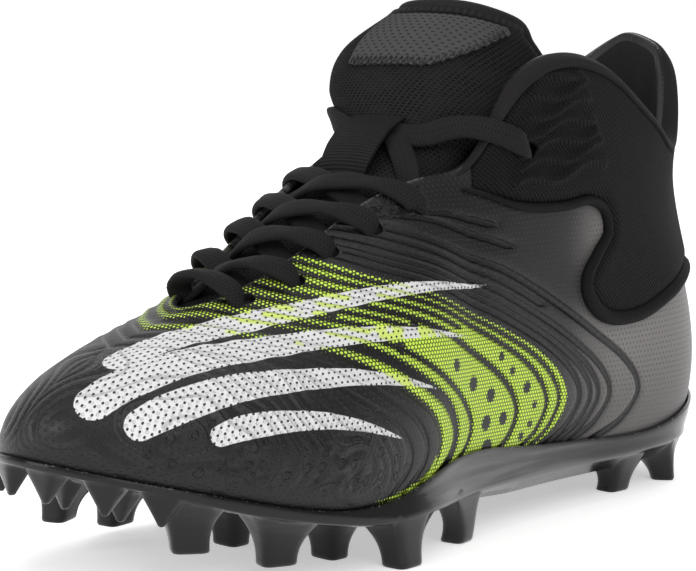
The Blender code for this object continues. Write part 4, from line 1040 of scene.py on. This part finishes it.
sides = seam[(seam[:, 0] < PIPING_FRONT_X) & (seam[:, 0] > PIPING_HEEL_X)][::2]
outer, inner = ([find_on_form(side, x0, z0) for x0, z0 in sides] for side in (1, -1))
share = np.linspace(outer[-1][0], inner[-1][0] - 1, PIPING_HEEL_POINTS + 2)[1:-1]
heel = seam[seam[:, 0] < PIPING_HEEL_X][::-1]
height = height_where(
    share, ROLL_START, lambda place: place[:, 2] < np.interp(place[:, 0], heel[:, 0], heel[:, 1]))
share, height = np.vstack([outer, np.column_stack([share, height]), inner[::-1]]).T
normals = form_normal(share, height)
points = skin(share, height, PIPING_HALF * 0.5 + PIPING_LIFT)
points += np.cross(unit(np.gradient(points, axis=0)), normals) * (PIPING_HALF + PIPING_SIDE)
low = smooth_step(*PIPING_SWELL_Z, points[:, 2])
ends = np.minimum(np.arange(len(points)), np.arange(len(points))[::-1]) / PIPING_TAPER
taper = PIPING_TIP + (1 - PIPING_TIP) * smooth_step(0, 1, ends)
wide, high = ((PIPING_HALF + swell * low) * taper for swell in PIPING_SWELL)
piping = cord("seam_piping", points, normals, wide, high)

satin = Finish("seam_cord")
place, x, y, fibre = satin.fabric(0.6, detail=3.0)
satin.cover(
    fibre, 0.003, 0.009, roughness=0.68 + 0.2 * fibre, shine=0.14,
    height=(y + 0.3 * fibre).wave(0.9) * 0.08 + fibre * 0.08)
dress(piping, satin, "seam_cord", "cuff_piping")

# Collar lining
# A soft brushed lining rolls out over the foam of the collar as a smooth band, and runs down inside
# to the insole. Along the throat it stops behind the cut edge of the film.
LINING_STEPS, ROLL_POINTS, LINING_ROWS, LINING_LOW, LINING_GAP = 220, 36, 45, 0.03, 0.25
PAD_RANGE, ROLL_BULGE = (0.35, 0.95), 2.1
# Rows of the roll: height and offset at the collar, then at the throat, and lift over the edge
ROLL_ROWS = (
    (0.982, 0.7, 0.985, -1.3, 0), (0.9845, 1.8, 0.985, -1.3, 0), (0.989, 2.4, 0.985, -1.3, 0),
    (0.9955, 2.3, 0.985, -1.3, 0), (1, 1.5, 0.985, -1.35, 0.12), (1, -1.2, 0.985, -1.5, 0.27),
    (1, -4.2, 0.98, -1.9, 0.16), (0.98, -5.8, 0.97, -2.35, 0),
)
share = round_shares(LINING_STEPS)
pad = smooth_step(*PAD_RANGE, SIZES(share)[:, 2])
wall, upward = wall_at(share, 1.0), edge_upward(share)
rows = []
for v, off, v_throat, off_throat, lift in smooth_row(ROLL_ROWS, np.linspace(0, 1, ROLL_POINTS)):
    roll_end = np.minimum(v * pad + v_throat * (1 - pad), 1.0)
    raised = upward * (lift * (wall + ROLL_BULGE) * pad)[:, None]
    rows.append(skin(share, roll_end, off * pad + off_throat * (1 - pad)) + raised)
for t in np.linspace(0, 1, LINING_ROWS + 1)[1:]:
    v = roll_end * (1 - t) + LINING_LOW * t
    rows.append(skin(share, v, -wall_at(share, v) - LINING_GAP))
rows = np.array(rows)
run = np.cumsum(np.linalg.norm(np.diff(rows, axis=0), axis=-1), axis=0)
run = np.vstack([np.zeros((1, len(share))), run])
pattern = np.stack([np.broadcast_to(share * PERIMETER, run.shape), run], axis=-1)
lining = sheet("collar_lining", rows, pattern, angle=60)

brushed = Finish("lining_knit")
place, x, y, nap = brushed.fabric(0.5, detail=4.0, roughness=0.65)
cloud = brushed.noise(place, 16.0, detail=2.0)
wale = (x + 0.2 * nap).wave(1.0) * (y + 0.2 * nap).wave(1.3)
brushed.cover(
    nap * 0.6 + cloud * 0.4, (0.007, 0.0065, 0.0065), (0.022, 0.020, 0.0205), roughness=0.82 + 0.1 * nap,
    shine=0.12, height=wale * 0.09 + nap * 0.1, Sheen_Weight=0.03, Sheen_Roughness=0.4)
dress(lining, brushed, "film_shell", "upper")

# Insole
# A thin foam sock liner lies on the plate inside the shoe, faced with plain knit and cut to the bed's
# outline. Its solid stays, with a material of its own.
insole = bpy.data.objects["insole"]
liner = Finish("sock_liner")
place, x, y, _ = liner.places()
fuzz = liner.noise(place, 0.6, detail=4.0)
stitch = (x + 0.3 * fuzz).wave(1.1) * (y + 0.3 * fuzz).wave(1.1)
liner.cover(
    stitch * 0.7 + fuzz * 0.3, 0.012, (0.045, 0.045, 0.047), roughness=0.85 + 0.1 * fuzz,
    shine=0.2, height=stitch * 0.15 + fuzz * 0.1)
clothe(insole, liner)

# Tongue
# The tongue is a foam pad faced with open knit, sewn in under the vamp and free above the laces. A
# smooth rolled tape binds the edge of its upper part, up one side, over the top and down the other.
TONGUE_COLUMNS = ("x", "across", "z", "half_width", "wrap", "thick", "turn")
TONGUE_ROWS = (
    (95, -4.5, 65.6, 12, 2.5, 2.5, 0), (80, -4.5, 70.8, 15, 3.5, 3.0, 0),
    (58, -3.5, 80.5, 20, 6.5, 4.0, 0), (36, -3.0, 93.5, 23, 10.0, 5.0, 0),
    (14, -2.0, 106.0, 22, 12.0, 6.0, 2), (-1, -1.5, 119.0, 20.5, 15.0, 7.0, 6),
    (-9, -2.5, 134.0, 28, 15.0, 7.5, 16), (-16, -1.0, 147.0, 29, 14.0, 7.5, 20),
    (-21, 2.0, 157.0, 20, 9.0, 6.0, 20),
)
TONGUE_ACROSS, TONGUE_UP = 60, 120
OUTER_WRAP, INNER_FLAT, TONGUE_LENGTH, FLAT_STRETCH = 0.9, 0.5, 170.0, 1.2
BINDING_FROM, BINDING_HALF, BINDING_POINTS, TOP_POINTS, BINDING_SETTLING = 0.6, 2.3, 60, 38, 6


def tongue_sizes(share):
    """Sizes of the tongue's section at a share of its length, by their columns' names."""
    return dict(zip(TONGUE_COLUMNS, np.moveaxis(smooth_row(TONGUE_ROWS, share), -1, 0)))


def tongue_upward(share):
    """Direction up the tongue, as seen from the side."""
    above, under = (tongue_sizes(np.clip(share + step, 0, 1)) for step in (SLOPE_STEP, -SLOPE_STEP))
    return unit(np.stack([above["x"] - under["x"], 0 * share, above["z"] - under["z"]], axis=-1))


def tongue_point(share, turn, depth):
    """A point of the tongue: share up it, turn across it from -1 to 1, depth behind its front."""
    share, turn = np.broadcast_arrays(np.asarray(share, float), np.asarray(turn, float))
    size = tongue_sizes(share)
    upward = tongue_upward(share)
    behind = np.stack([-upward[..., 2], 0 * share, upward[..., 0]], axis=-1)
    bend = turn * math.pi / 2
    side = np.maximum(size["half_width"] - depth, 1) * np.sin(bend)
    outer = OUTER_WRAP * smooth_step(0.6, 0.9, share) * smooth_step(0, 0.6, turn)
    inner = INNER_FLAT * smooth_step(0.5, 0.68, share) * smooth_step(1.15, 0.8, share)
    inner = inner * smooth_step(0, -0.6, turn)
    back = depth + size["wrap"] * (1 - np.cos(bend)) * (1 + outer - inner)
    yaw = np.radians(size["turn"])
    front = (size["x"] - side * np.sin(yaw), size["across"] + side * np.cos(yaw), size["z"])
    return np.stack(front, axis=-1) + behind * back[..., None]


turns = np.linspace(-1, 1, TONGUE_ACROSS + 1)
rows, pattern = [], []
ends = [(0.0, 0.0, 0.0), (0.0, 0.6, 0.0)]
ends += [(t, 1.0, 0.0) for t in np.linspace(0, 1, TONGUE_UP)]
ends += [(1.0, 0.8, 0.6), (1.0, 0.45, 0.9), (1.0, 0.0, 1.0)]
for share, thin, lift in ends:
    size = tongue_sizes(share)
    rounding = size["thick"] / 2 / size["half_width"]
    bevel = np.clip((np.abs(turns) - 1 + rounding) / rounding, 0, 1)
    depth = size["thick"] / 2 * (1 - np.sqrt(1 - bevel**2))
    middle = size["thick"] / 2
    front = tongue_point(share, turns, middle + (depth - middle) * thin)
    back = tongue_point(share, turns, middle - (depth - middle) * thin)[::-1]
    rows.append(np.vstack([front, back]) + tongue_upward(np.array(share)) * lift * middle)
    across = np.concatenate([turns, turns[::-1]]) * size["half_width"] * FLAT_STRETCH
    pattern.append(np.column_stack([across, np.full(2 * len(turns), share * TONGUE_LENGTH)]))
rows, pattern = np.array(rows), np.array(pattern)
rows, pattern = (np.concatenate([values, values[:, :1]], axis=1) for values in (rows, pattern))
tongue = sheet("tongue_pad", rows, pattern, angle=60)

knit = Finish("tongue_mesh")
place, x, y, yarn = knit.fabric(0.4)
slant = (x * 0.5 + y * 0.87 + 0.3 * yarn).wave(0.9)
pore = knit.dots(x + 0.3 * y, y, 1.45).rise(0.55, 0.3)
open_part = knit.noise(place, 13.0).rise(0.42, 0.58)
knit.cover(
    (1 - pore * (0.5 + 0.5 * open_part)) * (0.5 + 0.5 * slant), 0.0025, (0.018, 0.018, 0.0185),
    roughness=0.88 - 0.08 * yarn, shine=0.12,
    height=slant * 0.15 - pore * (0.2 + 0.3 * open_part) + yarn * 0.1, Sheen_Weight=0.02)
dress(tongue, knit, "tongue_mesh", "tongue")

run = np.linspace(BINDING_FROM, 1, BINDING_POINTS)
middle = tongue_sizes(run)["thick"] / 2
across = np.linspace(-1, 1, TOP_POINTS + 2)[1:-1]
lift = tongue_upward(np.array(1.0)) * middle[-1]
points, toward = (np.vstack([
    tongue_point(run, -1.0, middle - nearer), tongue_point(1.0, across, middle[-1] - nearer) + lift,
    tongue_point(run, 1.0, middle - nearer)[::-1],
]) for nearer in (0, 1))
for _ in range(BINDING_SETTLING):
    smoothed = (points[:-2] + 2 * points[1:-1] + points[2:]) / 4
    toward[1:-1] += smoothed - points[1:-1]
    points[1:-1] = smoothed
binding = cord("tongue_binding", points, toward - points, BINDING_HALF, BINDING_HALF, sides=20)
tape = Finish("binding_tape")
place, x, y, fibre = tape.fabric(0.5, detail=3.0)
tape.cover(
    fibre, (0.006, 0.006, 0.0062), (0.017, 0.017, 0.0175), roughness=0.62 + 0.15 * fibre, shine=0.15,
    height=(y + 0.2 * fibre).wave(0.8) * 0.05 + fibre * 0.08, Sheen_Weight=0.02)
dress(binding, tape, "tongue_mesh")

# Tongue patch
# A plain grey film label with pin holes is sewn on the tongue's top, its lower edge cut in small
# scallops and held by a zigzag stitch.
LAYER, LAYER_INSET, LAYER_WIDTH = 1.2, 0.35, 33.0
PATCH_LOW, PATCH_HIGH, PATCH_TURNS = 13 / 16, 0.975, np.linspace(-0.44, 4 / 6, 100)
PATCH_ROWS, PATCH_STAND, PATCH_CLIMB, CLIMB_TURNS = 40, 0.3, 0.145, (0.1, 0.72)
SCALLOP, SCALLOPS, ZIGZAG = 0.006, 19, (0.016, -0.004)
STITCHES, THREAD_HALF, STITCH_TURNS, STITCH_LIFT = 56, 0.28, (-0.425, 0.62), 0.45


def layer_on_tongue(name, shares, turns, stand):
    """A thin layer over the front of the tongue. Shares and stands are rows up it."""
    rows, pattern = [], []
    thin = [0, *[1] * len(shares), 0]
    for share, off, full in zip([shares[0], *shares, shares[-1]], [stand[0], *stand, stand[-1]], thin):
        over, under = (tongue_point(share, turns, -off - LAYER * (1 + side) / 2)
                       for side in (full, -full))
        inset = LAYER_INSET * (over - under)
        edge = np.vstack([over[:1] - inset[:1], over, over[-1:] - inset[-1:]])
        rows.append(np.vstack([edge, under[::-1], edge[:1]]))
        up = np.broadcast_to(share, turns.shape) * TONGUE_LENGTH
        flat_over = np.column_stack([turns * LAYER_WIDTH, up])
        first, last = flat_over[:1], flat_over[-1:]
        pattern.append(np.vstack([first, flat_over, last, flat_over[::-1], first]))
    return sheet(name, np.array(rows), np.array(pattern), angle=50)


def patch_low(turn):
    """Share up the tongue of the label's lower edge, which climbs towards the outer side."""
    return PATCH_LOW + PATCH_CLIMB * smooth_step(*CLIMB_TURNS, turn)


scallop = np.abs(np.sin(np.linspace(0, math.pi * SCALLOPS, len(PATCH_TURNS))))
low = patch_low(PATCH_TURNS) - SCALLOP * scallop
shares = [low + (PATCH_HIGH - low) * t for t in np.linspace(0, 1, PATCH_ROWS)]
patch = layer_on_tongue("tongue_label", shares, PATCH_TURNS, [PATCH_STAND] * PATCH_ROWS)
label = Finish("patch_film")
place, x, y, grain = label.fabric(0.6, detail=3.0)
pin = label.dots(x, y, 2.1).rise(0.45, 0.25)
label.cover(
    pin, label.mix(grain, (0.030, 0.030, 0.031), (0.046, 0.046, 0.048)), 0.008,
    roughness=0.5 + 0.15 * grain, shine=0.3, height=grain * 0.06 - pin * 0.2)
dress(patch, label, "patch_film", "tongue_patch")
zig = np.arange(STITCHES)
across = np.interp(zig, (0, STITCHES - 1), STITCH_TURNS)
up = patch_low(across) + np.where(zig % 2, *ZIGZAG)
points, under = (tongue_point(up, across, depth) for depth in (-LAYER - STITCH_LIFT, 0))
stitching = cord("label_stitching", points, points - under, THREAD_HALF, THREAD_HALF, sides=6)
thread = Finish("patch_thread")
_, x, y, _ = thread.places("pattern")
ply = (y + x).wave(0.5)
thread.cover(ply, 0.012, 0.05, roughness=0.6 + 0.1 * ply, shine=0.5, height=ply * 0.1)
dress(stitching, thread, "patch_film")

# Lace loop
# A strip of ribbed webbing is sewn across the tongue to hold the top run of the laces, folded double
# and stitched along its upper edge.
LOOP_TURNS, LOOP_POINTS = np.linspace(-2 / 6, 1 / 6, 26), 60
# Share up the tongue and stand over it, from the loop's lower edge to its upper one
LOOP_ROWS = ((0.505, 0.6), (0.53, 3.6), (9 / 16, 5.4), (0.59, 5.8), (10 / 16, 5.4), (0.65, 3.6),
             (0.675, 0.6))
share, stand = smooth_row(LOOP_ROWS, np.linspace(0, 1, LOOP_POINTS)).T
loop = layer_on_tongue("lace_loop", share, LOOP_TURNS, stand - LOOP_ROWS[0][1])
webbing = Finish("webbing")
place, x, y, fibre = webbing.fabric(0.4, detail=3.0)
rib = (y + 0.15 * fibre).wave(1.1)
weft = (x + 0.2 * fibre).wave(0.6)
webbing.cover(
    rib * 0.7 + weft * 0.3, 0.003, (0.019, 0.0185, 0.019), roughness=0.72 + 0.15 * fibre,
    shine=0.15, height=rib * 0.22 + weft * 0.06)
dress(loop, webbing, "webbing", "tongue_loop")

# Laces
# One flat woven lace runs from a bar at the toe end, crosses over the tongue from hole to hole, passes
# under the loop and goes in at the cuff. It comes from inside each hole and dives into the next.
LACE_HALF, LACE_THICK, LACE_SIDES, LACE_POWER = 3.7, 1.35, 24, 0.75
LACE_STAND = LACE_THICK + 0.35
THROAT_START, UNDER_THROAT, LACE_POINTS, ARM_POINTS = 7.0, (0.97, 1.2), 25, 13
LACE_SETTLING, LACE_SMOOTHING = 160, 8
# Heights of a lace over its hole, at its mouth and inside, and how far an arm dips behind the run
EYELET_DIVE, ARM_DIP = (LACE_STAND + 0.4, -1.0, -3.5), (1.5, 0, -1.0)
SETTLE_FROM = np.array([14.0, 0.0, 22.0])
RUN_SHARE, RUN_TURNS = 0.632, np.linspace(0.4, -0.4, 9)
BAR_PLACE = (EYELETS[0][0] + 2.5, EYELETS[0][1] - 1.0)


def nearest(trees, point):
    """Nearest place on the pieces' surfaces, and the direction away from it."""
    found = [tree.find_nearest(Vector((point + CENTRED) * MM)) for tree in trees]
    place, normal, _, _ = min(found, key=lambda hit: hit[3])
    place, normal = np.array(place) / MM - CENTRED, np.array(normal)
    away = point - place
    inside = away @ normal <= 0
    return place, normal if inside else unit(away), 0.0 if inside else np.linalg.norm(away)


def lay_lace(start, end, trees, count=LACE_POINTS):
    """Points of a lace pulled taut from start to end over the pieces, clear of them."""
    share = np.linspace(0, 1, count)[:, None]
    points = start + (end - start) * share + SETTLE_FROM * 4 * share * (1 - share)
    for _ in range(LACE_SETTLING):
        points[1:-1] = (points[:-2] + points[2:]) / 2
        for i in range(1, count - 1):
            place, away, distance = nearest(trees, points[i])
            if distance < LACE_STAND:
                points[i] = place + away * LACE_STAND
    return points


def eyelet_path(side, place, layer=0.0):
    """A lace's last places at a hole: over it, at its mouth and inside."""
    share, height = find_on_form(side, *place)
    return [skin(share, height, layer + off) for off in EYELET_DIVE]


def throat_start(side, place, end, trees):
    """Where a lace comes out from under the throat's edge beside a hole, on its way to its end."""
    share, _ = find_on_form(side, *place)
    edge = form(share, 1.0)
    spot, away, _ = nearest(trees, edge + unit(end - edge) * THROAT_START)
    under = skin(share, UNDER_THROAT[0], -SHELL_WALL - UNDER_THROAT[1])
    return under, spot + away * LACE_STAND


def lace(name, node, points):
    """A flat lace along points that stands for a solid and lies on the surface that is nearest."""
    normals = np.array([nearest(trees, point)[1] for point in points])
    for _ in range(LACE_SMOOTHING):
        padded = np.vstack([normals[:1], normals, normals[-1:]])
        normals = unit(padded[:-2] + 2 * padded[1:-1] + padded[2:])
        points[1:-1] = points[1:-1] * 0.5 + (points[:-2] + points[2:]) * 0.25
    strand = cord(name, points, normals, LACE_HALF, LACE_THICK, LACE_SIDES, LACE_POWER)
    dress(strand, weave, "lace_weave", node)
    return strand


weave = Finish("lace_weave")
place, x, y, fibre = weave.fabric(0.35, detail=3.0)
left, right = ((y + x * lean + 0.15 * fibre).wave(1.0) for lean in (0.8, -0.8))
braid = left.math("MAXIMUM", right)
weave.cover(
    braid * 0.75 + fibre * 0.25, 0.003, (0.015, 0.0148, 0.0148),
    roughness=0.75 + 0.15 * fibre, shine=0.15, height=braid * 0.11 + fibre * 0.08, Sheen_Weight=0.02)
trees = [surface_tree(piece) for piece in (tongue, shell, cuff)]
start, end = (eyelet_path(side, BAR_PLACE) for side in (1, -1))
points = np.vstack([start[:0:-1], lay_lace(start[0], end[0], trees), end[1:]])
lace("lace_bar_run", "lace_bar", points)
for number, (low, high) in enumerate(zip(EYELETS, EYELETS[1:]), start=1):
    below = list(trees)
    for side, order in ((-1, "under"), (1, "over")):
        path = eyelet_path(side, high)
        start = throat_start(-side, low, path[0], trees[:1])
        points = np.vstack([start[:1], lay_lace(start[1], path[0], below), path[1:]])
        strand = lace(f"lace_cross_{number}_{order}", f"lace_cross_{number}", points)
        below = [*trees, surface_tree(strand)]
middle = tongue_point(RUN_SHARE, RUN_TURNS, -LACE_STAND)
legs = []
for side, joint in ((1, middle[0]), (-1, middle[-1])):
    path = eyelet_path(side, CUFF_EYELET, CUFF_LIFT + CUFF_THICKNESS)
    legs.append(np.vstack([path[:0:-1], lay_lace(path[0], joint, trees)]))
points = np.vstack([legs[0][:-1], middle, legs[1][-2::-1]])
lace("lace_top_run", "lace_top", points)
for side, joint in ((1, middle[2]), (-1, middle[-3])):
    start = throat_start(side, EYELETS[-1], joint, trees[:1])
    points = np.vstack([start[:1], lay_lace(start[1], joint + ARM_DIP, trees, count=ARM_POINTS)])
    lace(f"lace_top_arm_{'out' if side > 0 else 'in'}", "lace_top", points)

# Studio
# A seamless paper sweep, lit white, runs under the shoe and up behind it. Large soft panels light it
# from above, in front and beside.
SWEEP_WIDTH, SWEEP_FRONT, SWEEP_BACK, SWEEP_BEND, SWEEP_TOP = 14000.0, 5000.0, 2600.0, 1200.0, 3200.0
bend = np.linspace(0, math.pi / 2, 12)
curve = zip(SWEEP_BACK + SWEEP_BEND * np.sin(bend), SWEEP_BEND * (1 - np.cos(bend)))
profile = [(-SWEEP_FRONT, 0), (0, 0), *curve, (SWEEP_BACK + SWEEP_BEND, SWEEP_TOP)]
away = unit(np.array((CAMERA_AIM - CAMERA_AT)[:2]))
beside = np.array([-away[1], away[0]])
rows = [[(*(away * run + beside * side), up) for side in (-SWEEP_WIDTH / 2, SWEEP_WIDTH / 2)]
        for run, up in profile]
sweep = sheet("studio_sweep", np.array(rows) - CENTRED)
paper = Finish("studio_paper")
place, *_ = paper.places()
paper.surface(
    Base_Color=paper.mix(paper.noise(place, 40.0), 0.86, 0.88),
    Roughness=0.9, Specular_IOR_Level=0.0, Emission_Color=(1, 1, 1, 1), Emission_Strength=0.47)
clothe(sweep, paper)
# Soft panels: name, place and size in metres, and power in watts
LIGHTS = (
    ("key", (0.7, 1.1, 1.2), 1.0, 10.5), ("front", (1.5, -0.35, 0.75), 0.8, 10.0),
    ("back", (-1.2, -0.6, 1.2), 1.0, 7.0), ("top", (0.3, 0.0, 1.8), 1.2, 7.0),
)
LIT_PLACE = Vector((0, 0, 0.07))
for name, at, size, power in LIGHTS:
    bpy.ops.object.light_add(type="AREA", location=at)
    light = bpy.context.object
    light.name = name
    light.data.size = size
    light.data.energy = power
    light.rotation_mode = "QUATERNION"
    light.rotation_quaternion = (LIT_PLACE - Vector(at)).to_track_quat("-Z", "Y")
world = bpy.context.scene.world or bpy.data.worlds.new("studio")
bpy.context.scene.world = world
world.use_nodes = True
background = world.node_tree.nodes["Background"].inputs
background["Color"].default_value, background["Strength"].default_value = (1, 1, 1, 1), 0.4
bpy.context.scene.view_settings.view_transform = "Standard"

bpy.data.objects.remove(eyelet_rods)
